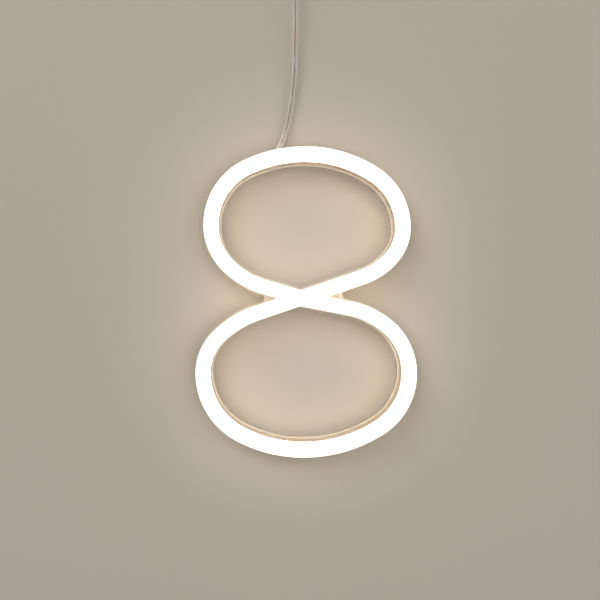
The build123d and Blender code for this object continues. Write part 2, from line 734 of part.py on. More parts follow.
def switch_block(size, back, front, place=(0, 0), radius=0.0):
    """A block placed from the switch's centre."""
    return block(size, in_switch(place), back, front, radius)


def boot_bores():
    """The holes for both boots through the switch's end walls."""
    radius = CORD_RADIUS + BOOT_ROOT_WALL + BOOT_CLEARANCE
    return rod_along_z(SWITCH_X, HANGING_DEPTH, SWITCH_Z - SWITCH_LENGTH, SWITCH_Z + SWITCH_LENGTH, radius)


def switch_housing():
    """The housing as one hollow block, with its outer edges rounded."""
    block_size = (SWITCH_WIDTH, SWITCH_LENGTH)
    housing = switch_block(block_size, SWITCH_BACK, SWITCH_FRONT, radius=SWITCH_CORNER)
    edges = housing.edges().group_by(Axis.Y)
    housing = fillet(edges[0] + edges[-1], SWITCH_EDGE_RADIUS)
    room = (SWITCH_WIDTH - 2 * SWITCH_WALL, SWITCH_LENGTH - 2 * SWITCH_END_WALL)
    return housing - switch_block(room, SWITCH_FLOOR, SWITCH_CEILING, radius=SWITCH_CORNER / 2) - boot_bores()


def housing_half(back, front):
    """The part of the housing between two depths, with a chamfer round its parting edge."""
    size = (2 * SWITCH_WIDTH, 2 * SWITCH_LENGTH)
    half = switch_housing() & switch_block(size, back, front)
    parting = [e for e in half.edges() if abs(e.center().Y + HANGING_DEPTH) < 1e-6]
    outline = [e for e in parting if is_on_outline(e)]
    return chamfer(outline, SWITCH_PARTING_CHAMFER)


def is_on_outline(edge):
    """Whether an edge lies along the housing's outer sides or rounded corners."""
    place = edge.center()
    aside, along = abs(place.X - SWITCH_X), abs(place.Z - SWITCH_Z)
    at_corner = edge.geom_type == GeomType.CIRCLE and abs(edge.radius - SWITCH_CORNER) < 1e-6
    return at_corner or abs(aside - SWITCH_WIDTH / 2) < 1e-6 or abs(along - SWITCH_LENGTH / 2) < 1e-6


def screw_rods(back, front, diameter):
    """A bar at each screw's place."""
    places = [in_switch((SCREW_X, SCREW_Z)), in_switch((-SCREW_X, -SCREW_Z))]
    return [rod_along_depth(x, z, back, front, diameter / 2) for x, z in places]


def make_switch_back_shell():
    """The housing's back half, with the two screw bosses."""
    shell = housing_half(SWITCH_BACK, HANGING_DEPTH)
    shell += screw_rods(SWITCH_FLOOR, HANGING_DEPTH, BOSS_DIAMETER)
    shell -= screw_rods(SWITCH_BACK, HANGING_DEPTH, SCREW_DIAMETER + 2 * SCREW_CLEARANCE)
    head_room = SCREW_HEAD_DIAMETER + 2 * SCREW_CLEARANCE
    return shell - screw_rods(SWITCH_BACK, SWITCH_BACK + SCREW_HEAD_HEIGHT, head_room)


def make_switch_front_shell():
    """The housing's front half, with the rocker's window and the ears for its pin."""
    shell = housing_half(HANGING_DEPTH, SWITCH_FRONT)
    shell += screw_rods(HANGING_DEPTH, SWITCH_CEILING, BOSS_DIAMETER)
    inside = ROCKER_WIDTH / 2 + ROCKER_SIDE_GAP
    outside = SWITCH_WIDTH / 2 - SWITCH_WALL
    ear_back = PIVOT_DEPTH - PIVOT_DIAMETER / 2 - EAR_WALL
    for side in (1, -1):
        place = (side * (inside + outside) / 2, 0)
        shell += switch_block((outside - inside, EAR_LENGTH), ear_back, SWITCH_CEILING, place)
    hole_radius = PIVOT_DIAMETER / 2 + PIVOT_CLEARANCE
    shell -= rod_along_x(SWITCH_X - outside, SWITCH_X + outside, SWITCH_Z, PIVOT_DEPTH, hole_radius)
    shell -= screw_rods(HANGING_DEPTH, SCREW_TIP, SCREW_DIAMETER)
    window = (ROCKER_WIDTH + 2 * ROCKER_SIDE_GAP, ROCKER_LENGTH + 2 * ROCKER_WINDOW_GAP)
    return shell - switch_block(window, SWITCH_CEILING, SWITCH_FRONT)


def tilted(shape):
    """A rocker piece turned about the pin so that the rocker's upper end is pressed in."""
    pivot = at(SWITCH_X, SWITCH_Z, PIVOT_DEPTH)
    return Pos(*pivot) * Rot(-ROCKER_TILT, 0, 0) * Pos(*(pivot * -1)) * shape


def rocker_mark(side):
    """A groove in the middle of a rocker face: a ring on the upper one, a bar on the lower."""
    ring = Circle(MARK_SIZE / 2) - Circle(MARK_SIZE / 2 - MARK_LINE)
    bar = Rectangle(MARK_LINE, MARK_SIZE)
    half = ROCKER_LENGTH / 2
    depth = SWITCH_FRONT + ROCKER_PROUD - ROCKER_FACE_DROP / 2
    slope = side * math.degrees(math.atan2(ROCKER_FACE_DROP, half))
    face = Plane(at(SWITCH_X, SWITCH_Z + side * half / 2, depth), x_dir=(1, 0, 0), z_dir=(0, -1, 0))
    outline = face * Rot(-slope, 0, 0) * (ring if side > 0 else bar)
    return extrude(outline, amount=MARK_DEPTH, both=True)


def make_switch_rocker():
    """The rocker: a bar with two marked faces that slope up to its ends."""
    half = ROCKER_LENGTH / 2
    corner_rise = PIVOT_BELOW_FACE + ROCKER_PROUD
    foot = half - ROCKER_FLANK_DRAFT
    outline = Polyline(
        (-half, corner_rise),
        (0, corner_rise - ROCKER_FACE_DROP),
        (half, corner_rise),
        (foot, -ROCKER_UNDERSIDE),
        (-foot, -ROCKER_UNDERSIDE),
        close=True,
    )
    side = Plane(at(SWITCH_X - ROCKER_WIDTH / 2, SWITCH_Z, PIVOT_DEPTH), x_dir=(0, 0, 1), z_dir=(1, 0, 0))
    body = extrude(side * make_face(outline), amount=ROCKER_WIDTH)
    corners = body.edges().filter_by(Axis.X).group_by(Axis.Y)[0]
    body = fillet(corners, ROCKER_EDGE_RADIUS)
    return tilted(body - rocker_mark(1) - rocker_mark(-1)) - make_rocker_pin()


def make_rocker_pin():
    """The steel pin, which turns with the rocker in the housing's ears."""
    reach = SWITCH_WIDTH / 2 - SWITCH_WALL - PIVOT_CLEARANCE
    return rod_along_x(SWITCH_X - reach, SWITCH_X + reach, SWITCH_Z, PIVOT_DEPTH, PIVOT_DIAMETER / 2)


def contact_block(size, radius):
    """A sheet under the rocker's underside, before the tilt."""
    front = PIVOT_DEPTH - ROCKER_UNDERSIDE
    return switch_block(size, front - CONTACT_THICKNESS, front, radius=radius)


def make_rocker_contact():
    """The copper bridge under the rocker."""
    return tilted(contact_block((CONTACT_WIDTH, CONTACT_LENGTH), CONTACT_CORNER))


def post_top():
    """The depth of the tilted bridge's back over the posts' far side, less the contact gap."""
    tilt = math.radians(ROCKER_TILT)
    below = (ROCKER_UNDERSIDE + CONTACT_THICKNESS) / math.cos(tilt)
    return PIVOT_DEPTH - below - (POST_Z + POST_SIZE / 2) * math.tan(tilt) - CONTACT_GAP


def make_fixed_contacts():
    """The two brass posts that the bridge joins."""
    posts = [(side * POST_X, POST_Z) for side in (-1, 1)]
    return Compound([switch_block((POST_SIZE, POST_SIZE), SWITCH_FLOOR, post_top(), post) for post in posts])


def make_switch_screws():
    """The two slotted screws that hold the housing's halves together."""
    heads = screw_rods(SWITCH_BACK, SWITCH_BACK + SCREW_HEAD_HEIGHT, SCREW_HEAD_DIAMETER)
    shanks = screw_rods(SWITCH_BACK, SCREW_TIP, SCREW_DIAMETER)
    slot_size = (SCREW_SLOT_WIDTH, SCREW_SLOT_LENGTH)
    screws = []
    for side, head, shank in zip((1, -1), heads, shanks):
        place = (side * SCREW_X, side * SCREW_Z)
        slot = switch_block(slot_size, SWITCH_BACK, SWITCH_BACK + SCREW_SLOT_DEPTH, place)
        screws.append(head + shank - slot)
    return Compound(screws)


def make_switch_wires():
    """The wires inside the switch: one runs through, and two end at the posts."""
    half = WIRE_SPACING / 2
    post_side = POST_Z + POST_SIZE / 2
    far = (post_side + SCREW_Z - BOSS_DIAMETER / 2) / 2
    near = far + INNER_WIRE_BEND_SHARE * (CORD_STOP - far)
    beside = SWITCH_WIDTH / 2 - SWITCH_WALL - INNER_WIRE_FROM_WALL - WIRE_DIAMETER / 2

    def point(x, z, drop):
        """A point measured from the switch's centre, and back from the cord."""
        return at(*in_switch((x, z)), HANGING_DEPTH - drop)

    def entry(x, side, drop):
        """A wire's first three points, from the cord's end: side is 1 at the upper end."""
        level = [point(x, side * (CORD_STOP - drawn), 0) for drawn in (0, WIRE_DIAMETER)]
        return [*level, point(x, side * near, drop)]

    def post_wire(x, side, end):
        """A wire from the cord at one end of the switch to the post at x."""
        return entry(half, side, POST_WIRE_DROP) + [point(x, z, POST_WIRE_DROP) for z in (side * far, end)]

    along = [point(-beside, side * far, THROUGH_WIRE_DROP) for side in (-1, 1)]
    through = entry(-half, -1, THROUGH_WIRE_DROP) + along + entry(-half, 1, THROUGH_WIRE_DROP)[::-1]
    from_above = post_wire(-POST_X, 1, post_side)
    from_below = post_wire(POST_X, -1, POST_Z - POST_SIZE / 2)
    return Compound([wire_through(points) for points in (through, from_above, from_below)])


def make_switch_boot(side):
    """A tapered boot round the cord at one end of the switch; side is 1 for the upper."""
    wall = SWITCH_LENGTH / 2
    root = CORD_RADIUS + BOOT_ROOT_WALL
    flange = Cylinder(root + BOOT_FLANGE_WIDTH, BOOT_FLANGE_THICKNESS)
    boot = Pos(0, 0, (CORD_STOP + wall) / 2) * Cylinder(root, wall - CORD_STOP)
    boot += Pos(0, 0, wall + BOOT_LENGTH / 2) * Cone(root, CORD_RADIUS + BOOT_TIP_WALL, BOOT_LENGTH)
    boot += Pos(0, 0, CORD_STOP - BOOT_FLANGE_THICKNESS / 2) * flange
    boot -= Cylinder(CORD_RADIUS + BOOT_CLEARANCE, 4 * wall)
    turn = Rot(0, 0 if side > 0 else 180, 0)
    return Pos(SWITCH_X, -HANGING_DEPTH, SWITCH_Z) * turn * boot


def plug_rod(bottom, top, diameter, top_diameter=None):
    """A round bar or taper on the plug's axis."""
    end = None if top_diameter is None else top_diameter / 2
    return rod_along_z(TAIL_X, HANGING_DEPTH, bottom, top, diameter / 2, end)


def make_plug_boot():
    """The plug's tapered strain relief, with grooves round it."""
    boot = plug_rod(PLUG_BODY_TOP, PLUG_TOP, PLUG_BOOT_ROOT_DIAMETER, PLUG_BOOT_TIP_DIAMETER)
    pitch = PLUG_BOOT_LENGTH / (PLUG_BOOT_GROOVES + 1)
    for n in range(PLUG_BOOT_GROOVES):
        bottom = PLUG_BODY_TOP + (n + 1) * pitch - PLUG_BOOT_GROOVE_WIDTH / 2
        top = bottom + PLUG_BOOT_GROOVE_WIDTH
        boot -= plug_rod(bottom, top, PLUG_BODY_DIAMETER) - plug_rod(bottom, top, PLUG_BOOT_GROOVE_CORE)
    return boot


def make_plug_body():
    """The plug's moulded grip, with grooves along it."""
    body = plug_rod(PLUG_FACE, PLUG_BODY_TOP, PLUG_BODY_DIAMETER)
    body = fillet(body.edges().filter_by(GeomType.CIRCLE), PLUG_EDGE_RADIUS)
    groove = Box(2 * PLUG_GROOVE_DEPTH, PLUG_GROOVE_WIDTH, PLUG_BODY_LENGTH - 2 * PLUG_GROOVE_MARGIN)
    centre = Pos(TAIL_X, -HANGING_DEPTH, (PLUG_FACE + PLUG_BODY_TOP) / 2)
    for n in range(PLUG_GROOVE_COUNT):
        body -= centre * Rot(0, 0, 360 * n / PLUG_GROOVE_COUNT) * Pos(PLUG_BODY_DIAMETER / 2, 0, 0) * groove
    return body


def make_plug_barrel():
    """The plug's outer contact sleeve."""
    sleeve = plug_rod(PLUG_TIP + TIP_RING_LENGTH, PLUG_FACE, BARREL_DIAMETER)
    return sleeve - plug_rod(PLUG_TIP, PLUG_FACE, BARREL_DIAMETER - 2 * BARREL_WALL)


def make_plug_insulator():
    """The black insulator inside the sleeve, with its ring at the tip."""
    inside = BARREL_DIAMETER - 2 * BARREL_WALL
    core = SOCKET_DIAMETER + 2 * SOCKET_WALL
    ring = plug_rod(PLUG_TIP, PLUG_TIP + TIP_RING_LENGTH, BARREL_DIAMETER)
    return ring + plug_rod(PLUG_TIP, PLUG_FACE, inside) - plug_rod(PLUG_TIP, PLUG_FACE, core)


def make_plug_socket():
    """The plug's inner contact tube."""
    core = SOCKET_DIAMETER + 2 * SOCKET_WALL
    return plug_rod(PLUG_TIP, PLUG_FACE, core) - plug_rod(PLUG_TIP, PLUG_FACE, SOCKET_DIAMETER)


NODES = {
    "mounting_dots": make_mounting_dots,
    "back_plate": make_back_plate,
    "channel_bond": make_channel_bond,
    "neon_channel": make_neon_channel,
    "neon_diffuser": make_neon_diffuser,
    "end_cap_upper": lambda: make_end_cap(FIRST_BODY, first_run()),
    "end_cap_lower": lambda: make_end_cap(LAST_BODY, last_run()),
    "led_strip": make_led_strip,
    "led_chips": make_led_chips,
    "led_windows": make_led_windows,
    "strip_resistors": make_strip_resistors,
    "strip_pads": make_strip_pads,
    "lead_wire_positive": lambda: wire_through(lead_points(1)),
    "lead_wire_negative": lambda: wire_through(lead_points(-1)),
    "solder_joints": make_solder_joints,
    "cord_gland": make_cord_gland,
    "cord_lower": make_cord_lower,
    "cord_upper": make_cord_upper,
    "cord_coil": make_cord_coil,
    "cord_tail": make_cord_tail,
    "coil_tie": make_coil_tie,
    "cord_hook": make_cord_hook,
    "hook_pad": make_hook_pad,
    "switch_back_shell": make_switch_back_shell,
    "switch_front_shell": make_switch_front_shell,
    "switch_rocker": make_switch_rocker,
    "rocker_pin": make_rocker_pin,
    "rocker_contact": make_rocker_contact,
    "fixed_contacts": make_fixed_contacts,
    "switch_screws": make_switch_screws,
    "switch_wires": make_switch_wires,
    "switch_boot_lower": lambda: make_switch_boot(-1),
    "switch_boot_upper": lambda: make_switch_boot(1),
    "plug_boot": make_plug_boot,
    "plug_body": make_plug_body,
    "plug_barrel": make_plug_barrel,
    "plug_insulator": make_plug_insulator,
    "plug_socket": make_plug_socket,
}

os.makedirs("parts", exist_ok=True)
for name, make in NODES.items():
    shape = make()
    print(name, len(shape.solids()), "solids", round(shape.volume, 1), "mm3")
    export_step(shape, f"parts/{name}.step")
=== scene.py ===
"""The looks of a wall sign: the numeral eight in neon-style LED flex, with its cord, switch, hook and plug.

Sizes are in millimetres and become the frame's metres through MM, except for the lamps and the room, which
are in metres. x is to the right and z up. The wall is the plane y = 0, and a depth is a distance in front
of it.
"""

from __future__ import annotations

import logging
import math
import random
from collections.abc import Mapping, Sequence
from dataclasses import dataclass
from enum import Enum

import bmesh
import bpy
from mathutils import Euler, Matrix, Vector

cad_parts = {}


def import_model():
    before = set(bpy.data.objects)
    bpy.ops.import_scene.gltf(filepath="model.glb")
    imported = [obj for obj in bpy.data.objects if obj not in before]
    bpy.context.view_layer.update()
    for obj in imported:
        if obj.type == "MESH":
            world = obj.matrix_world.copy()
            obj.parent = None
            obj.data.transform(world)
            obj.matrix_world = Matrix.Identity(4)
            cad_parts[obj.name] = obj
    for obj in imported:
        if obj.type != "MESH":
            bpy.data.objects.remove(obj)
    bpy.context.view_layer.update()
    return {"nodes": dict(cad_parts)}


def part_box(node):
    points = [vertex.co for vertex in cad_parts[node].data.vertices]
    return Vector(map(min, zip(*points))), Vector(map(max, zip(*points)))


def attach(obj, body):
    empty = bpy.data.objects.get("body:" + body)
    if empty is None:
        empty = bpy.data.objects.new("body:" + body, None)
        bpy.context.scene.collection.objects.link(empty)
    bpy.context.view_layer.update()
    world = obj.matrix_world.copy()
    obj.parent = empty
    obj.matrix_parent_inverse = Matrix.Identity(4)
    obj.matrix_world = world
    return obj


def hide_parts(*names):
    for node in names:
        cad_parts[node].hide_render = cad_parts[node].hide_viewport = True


MM = 0.001
SIGN_BODY = "sign"

Colour = tuple[float, float, float]
Place = tuple[float, float, float]
Pair = tuple[float, float]
BLACK: Colour = (0.0, 0.0, 0.0)
MILKY: Colour = (0.8, 0.755, 0.69)
EVEN: Place = (1.0, 1.0, 1.0)
# The angle, in radians, that Blender's ridges turn through in each unit at a scale of 1.
RIDGE_ANGLE = 20.0
log = logging.getLogger("sign")


class Kind(Enum):
    """What a socket carries."""

    NUMBER = "VALUE"
    VECTOR = "VECTOR"
    COLOUR = "RGBA"


class Operation(Enum):
    """What an expression works out. Colours only add, subtract and multiply."""

    ADD = "ADD"
    SUBTRACT = "SUBTRACT"
    MULTIPLY = "MULTIPLY"
    ABSOLUTE = "ABSOLUTE"
    MAXIMUM = "MAXIMUM"


class Ridges(Enum):
    """Which way parallel ridges follow each other."""

    ACROSS = "X"
    SLANTED = "DIAGONAL"


class SeenRay(Enum):
    """The rays by which a thing is seen: straight, in a reflection and through glass."""

    STRAIGHT = "Is Camera Ray"
    REFLECTED = "Is Glossy Ray"
    THROUGH = "Is Transmission Ray"


class FarEnd(Enum):
    """What a run of the cord ends in."""

    FITTING = "fitting"
    PLUG = "plug"


class Lay(Enum):
    """How a run of the cord lies."""

    HANGING = "hanging"
    COILED = "coiled"


class Wire:
    """A node's output in an expression, whose operators add the nodes that work them out."""

    def __init__(self, nodes: Nodes, socket: bpy.types.NodeSocket) -> None:
        """Keeps the tree and the socket."""
        self.nodes = nodes
        self.socket = socket

    def __add__(self, other: Operand) -> Wire:
        """The sum."""
        return self.nodes.worked(Operation.ADD, self, other)

    def __radd__(self, other: Operand) -> Wire:
        """The sum, with this wire second."""
        return self.nodes.worked(Operation.ADD, other, self)

    def __sub__(self, other: Operand) -> Wire:
        """The difference."""
        return self.nodes.worked(Operation.SUBTRACT, self, other)

    def __rsub__(self, other: Operand) -> Wire:
        """The difference, with this wire second."""
        return self.nodes.worked(Operation.SUBTRACT, other, self)

    def __mul__(self, other: Operand) -> Wire:
        """The product."""
        return self.nodes.worked(Operation.MULTIPLY, self, other)

    def __rmul__(self, other: Operand) -> Wire:
        """The product, with this wire second."""
        return self.nodes.worked(Operation.MULTIPLY, other, self)

    def __abs__(self) -> Wire:
        """The size without its sign."""
        return self.nodes.worked(Operation.ABSOLUTE, self)

    def swing(self, width: float) -> Wire:
        """A number that goes from half a width below 0 to half above it, as this wire goes from 0 to 1."""
        return width * (self - 0.5)


Operand = Wire | float | Sequence[float]


@dataclass(frozen=True)
class Grain:
    """Soft noise: the size of its features in millimetres, its detail, and how its places are stretched."""

    size: float
    detail: float = 2.0
    stretch: Place = EVEN


@dataclass(frozen=True)
class Relief:
    """How deep a surface is worked, in millimetres, and how strongly it shows."""

    depth: float
    strength: float


class Nodes:
    """The node tree of one material or world, where a node is added by its type, settings and inputs."""

    def __init__(self, owner: bpy.types.Material | bpy.types.World) -> None:
        """Turns the owner's nodes on and empties its tree.

        Args:
            owner: The material or world that the nodes are for.
        """
        owner.use_nodes = True
        self.tree = owner.node_tree
        self.tree.nodes.clear()

    def node(
        self,
        node_type: str,
        settings: Mapping[str, object] | None = None,
        inputs: Mapping[str | int, Operand] | None = None,
    ) -> bpy.types.Node:
        """Makes one node.

        Args:
            node_type: Blender's name of the node.
            settings: The node's own properties, which are set first.
            inputs: A value or a wire for each input, by the input's name or number.

        Returns:
            The node.
        """
        made = self.tree.nodes.new(node_type)
        for name, setting in (settings or {}).items():
            setattr(made, name, setting)
        for name, value in (inputs or {}).items():
            self._feed(made.inputs[name], value)
        return made

    def add(
        self,
        node_type: str,
        settings: Mapping[str, object] | None = None,
        inputs: Mapping[str | int, Operand] | None = None,
        output: str | int = 0,
    ) -> Wire:
        """Makes one node and takes a wire from it.

        Args:
            node_type: Blender's name of the node.
            settings: The node's own properties.
            inputs: A value or a wire for each input, by the input's name or number.
            output: The name or number of the output that is wanted.

        Returns:
            The wanted output.
        """
        return Wire(self, self.node(node_type, settings, inputs).outputs[output])

    def _feed(self, socket: bpy.types.NodeSocket, value: Operand) -> None:
        """Links a wire to a socket, or sets a value on it.

        Args:
            socket: The input.
            value: The wire, or the value, of which a lone number fills a vector or a colour.
        """
        if isinstance(value, Wire):
            self.tree.links.new(value.socket, socket)
            return
        wide = socket.type in (Kind.VECTOR.value, Kind.COLOUR.value)
        if wide and isinstance(value, (int, float)):
            value = (value,) * 3
        socket.default_value = (*value, 1.0) if socket.type == Kind.COLOUR.value else value

    @staticmethod
    def _kind(operand: Operand) -> Kind:
        """What an operand is.

        Args:
            operand: A wire, which has its socket's kind, or a value, of which three numbers are a vector.

        Returns:
            The kind.
        """
        if isinstance(operand, Wire):
            return Kind(operand.socket.type)
        return Kind.NUMBER if isinstance(operand, (int, float)) else Kind.VECTOR

    def worked(self, operation: Operation, *operands: Operand) -> Wire:
        """Works out one operation on colours, vectors or numbers.

        Args:
            operation: The operation, which has the same name in the three kinds of node.
            operands: One or two wires or values.

        Returns:
            The result, a colour if an operand is one, or else a vector if an operand is one.
        """
        kinds = {self._kind(operand) for operand in operands}
        if Kind.COLOUR in kinds:
            settings = {"data_type": "RGBA", "blend_type": operation.value}
            return self.add("ShaderNodeMix", settings, {0: 1.0, 6: operands[0], 7: operands[1]}, 2)
        node_type = "ShaderNodeVectorMath" if Kind.VECTOR in kinds else "ShaderNodeMath"
        return self.add(node_type, {"operation": operation.value}, dict(enumerate(operands)))

    def larger(self, a: Operand, b: Operand) -> Wire:
        """The larger of two numbers."""
        return self.worked(Operation.MAXIMUM, a, b)

    def ramp(self, value: Operand, low: float, high: float) -> Wire:
        """A smooth rise from 0, where a value is low, to 1, where it is high."""
        settings = {"interpolation_type": "SMOOTHSTEP"}
        return self.add("ShaderNodeMapRange", settings, {"Value": value, "From Min": low, "From Max": high})

    def blend(self, share: Operand, a: Operand, b: Operand) -> Wire:
        """A colour between two, a where the share is 0 and b where it is 1."""
        return self.add("ShaderNodeMix", {"data_type": "RGBA"}, {0: share, 6: a, 7: b}, 2)

    def place(self, stretch: Place = EVEN) -> Wire:
        """The place on the piece in millimetres, multiplied along each axis."""
        return self.add("ShaderNodeTexCoord", output="Object") * tuple(s / MM for s in stretch)

    def depth(self) -> Wire:
        """The distance in front of the wall, in millimetres."""
        return self.add("ShaderNodeSeparateXYZ", inputs={0: self.place((0.0, -1.0, 0.0))}, output="Y")

    def facing_wall(self) -> Wire:
        """1 on a face that looks to or from the wall, and 0 on one that stands square to it."""
        normal = self.add("ShaderNodeTexCoord", output="Normal")
        return abs(self.add("ShaderNodeSeparateXYZ", inputs={0: normal}, output="Y"))

    def turned_away(self, blend: float) -> Wire:
        """0 on a face that looks at the eye, rising to 1 on one that is seen edge on."""
        return self.add("ShaderNodeLayerWeight", None, {"Blend": blend}, "Facing")

    def noise(self, grain: Grain) -> Wire:
        """Soft noise from 0 to 1."""
        inputs = {"Vector": self.place(grain.stretch), "Scale": 1 / grain.size, "Detail": grain.detail}
        return self.add("ShaderNodeTexNoise", None, inputs, "Fac")

    def cells(self, size: float) -> Wire:
        """The distance from the nearest of scattered points, in cells of a size in millimetres."""
        inputs = {"Vector": self.place(), "Scale": 1 / size}
        return self.add("ShaderNodeTexVoronoi", None, inputs, "Distance")

    def waves(self, pitch: float, ridges: Ridges, distortion: float) -> Wire:
        """Parallel ridges from 0 to 1, with a pitch in millimetres."""
        inputs = {"Vector": self.place(), "Scale": math.tau / RIDGE_ANGLE / pitch, "Distortion": distortion}
        return self.add("ShaderNodeTexWave", {"bands_direction": ridges.value}, inputs, "Fac")

    def raised(self, height: Operand, relief: Relief) -> Wire:
        """The normal of a surface raised by a height of 0 to 1."""
        inputs = {"Height": height, "Distance": relief.depth * MM, "Strength": relief.strength}
        return self.add("ShaderNodeBump", None, inputs, "Normal")

    def principled(self, inputs: Mapping[str, Operand]) -> Wire:
        """A Principled shader with these inputs."""
        return self.add("ShaderNodeBsdfPrincipled", None, inputs)

    def see_through(self, share: Operand, shader: Wire) -> Wire:
        """A shader that covers this share of what lies behind it."""
        clear = self.add("ShaderNodeBsdfTransparent")
        return self.add("ShaderNodeMixShader", None, {0: share, 1: clear, 2: shader})

    def finish(self, shader: Wire, output_type: str = "ShaderNodeOutputMaterial") -> None:
        """Sends a shader to a new output."""
        self.node(output_type, inputs={"Surface": shader})


def shaded(colour: Colour, share: float) -> Colour:
    """A colour with this share of its light."""
    return tuple(value * share for value in colour)


@dataclass(frozen=True)
class Finish:
    """How one material looks: its name, its colour and how rough it is."""

    name: str
    colour: Colour
    roughness: float

    def surface(self, nodes: Nodes) -> Wire:
        """Adds the finish's nodes and returns its shader."""
        raise NotImplementedError

    def material(self) -> bpy.types.Material:
        """Makes a material with this finish.

        Returns:
            The material.
        """
        material = bpy.data.materials.new(self.name)
        nodes = Nodes(material)
        nodes.finish(self.surface(nodes))
        return material

    def dress(self, *pieces: bpy.types.Object) -> None:
        """Puts the finish on pieces, in place of what they wore.

        Args:
            pieces: The pieces, which share one material.
        """
        material = self.material()
        for piece in pieces:
            piece.data.materials.clear()
            piece.data.materials.append(material)
            log.info("dressed %s in %s", piece.name, self.name)


@dataclass(frozen=True)
class LitSilicone(Finish):
    """Milky silicone lit from inside: its sides throw the most light on the wall, and its root is creamy.

    The glows are shares of the strength, by depth: the root's up to root_end, the sides' from side_start to
    side_end, and the front's from front_start.
    """

    strength: float = 11.0
    root_glow: Colour = (0.075, 0.059, 0.048)
    side_glow: Colour = (1.0, 0.87, 0.69)
    front_glow: Colour = (0.095, 0.091, 0.082)
    root_end: float = 13.8
    side_start: float = 14.8
    side_end: float = 15.9
    front_start: float = 17.0
    index: float = 1.41
    clouds: Grain = Grain(5.0, 3.0)
    cloud_shade: float = 0.93
    skin: Grain = Grain(0.35)
    skin_relief: Relief = Relief(0.02, 0.3)
    unevenness: float = 0.1

    def surface(self, nodes: Nodes) -> Wire:
        """Adds the nodes: the glow follows the depth, and faint clouds vary the white.

        Args:
            nodes: The material's nodes.

        Returns:
            The shader.
        """
        depth = nodes.depth()
        side = nodes.blend(nodes.ramp(depth, self.root_end, self.side_start), self.root_glow, self.side_glow)
        glow = nodes.blend(nodes.ramp(depth, self.side_end, self.front_start), side, self.front_glow)
        skin = nodes.noise(self.skin)
        deeper = shaded(self.colour, self.cloud_shade)
        return nodes.principled(
            {
                "Base Color": nodes.blend(nodes.noise(self.clouds), deeper, self.colour),
                "Roughness": self.roughness + skin.swing(self.unevenness),
                "IOR": self.index,
                "Emission Color": glow,
                "Emission Strength": self.strength,
                "Normal": nodes.raised(skin, self.skin_relief),
            }
        )


@dataclass(frozen=True)
class SmokySilicone(Finish):
    """Clear silicone with a smoky tint, with a faint painted glow on its walls above its solid floor, for the
    strip's light inside.
    """

    wall_cover: float = 0.82
    floor_cover: float = 0.42
    # A painted glow: emission on the channel's walls, which are no lamp.
    painted_wall_glow: Colour = (0.03, 0.016, 0.008)
    floor_end: float = 5.0
    wall_start: float = 6.4
    index: float = 1.41
    drawn: Grain = Grain(1.6, 3.0, (1.0, 3.0, 1.0))
    drawn_relief: Relief = Relief(0.05, 0.4)
    unevenness: float = 0.12
    clouds: Grain = Grain(9.0)
    cloud_shade: float = 0.8
    cloud_cover: float = 0.08

    def surface(self, nodes: Nodes) -> Wire:
        """Adds the nodes: clouds and drawn lines in the tint, and a cover that follows the face.

        Args:
            nodes: The material's nodes.

        Returns:
            The shader.
        """
        drawn = nodes.noise(self.drawn)
        clouds = nodes.noise(self.clouds)
        darker = shaded(self.colour, self.cloud_shade)
        cover = self.wall_cover + (self.floor_cover - self.wall_cover) * nodes.facing_wall()
        # The painted glow starts above the solid floor.
        wall = nodes.ramp(nodes.depth(), self.floor_end, self.wall_start)
        shader = nodes.principled(
            {
                "Base Color": nodes.blend(0.5 * drawn + 0.5 * clouds, darker, self.colour),
                "Roughness": self.roughness + drawn.swing(self.unevenness),
                "IOR": self.index,
                "Emission Color": nodes.blend(wall, BLACK, self.painted_wall_glow),
                "Emission Strength": 1.0,
                "Normal": nodes.raised(drawn, self.drawn_relief),
            }
        )
        return nodes.see_through(cover + clouds.swing(self.cloud_cover), shader)


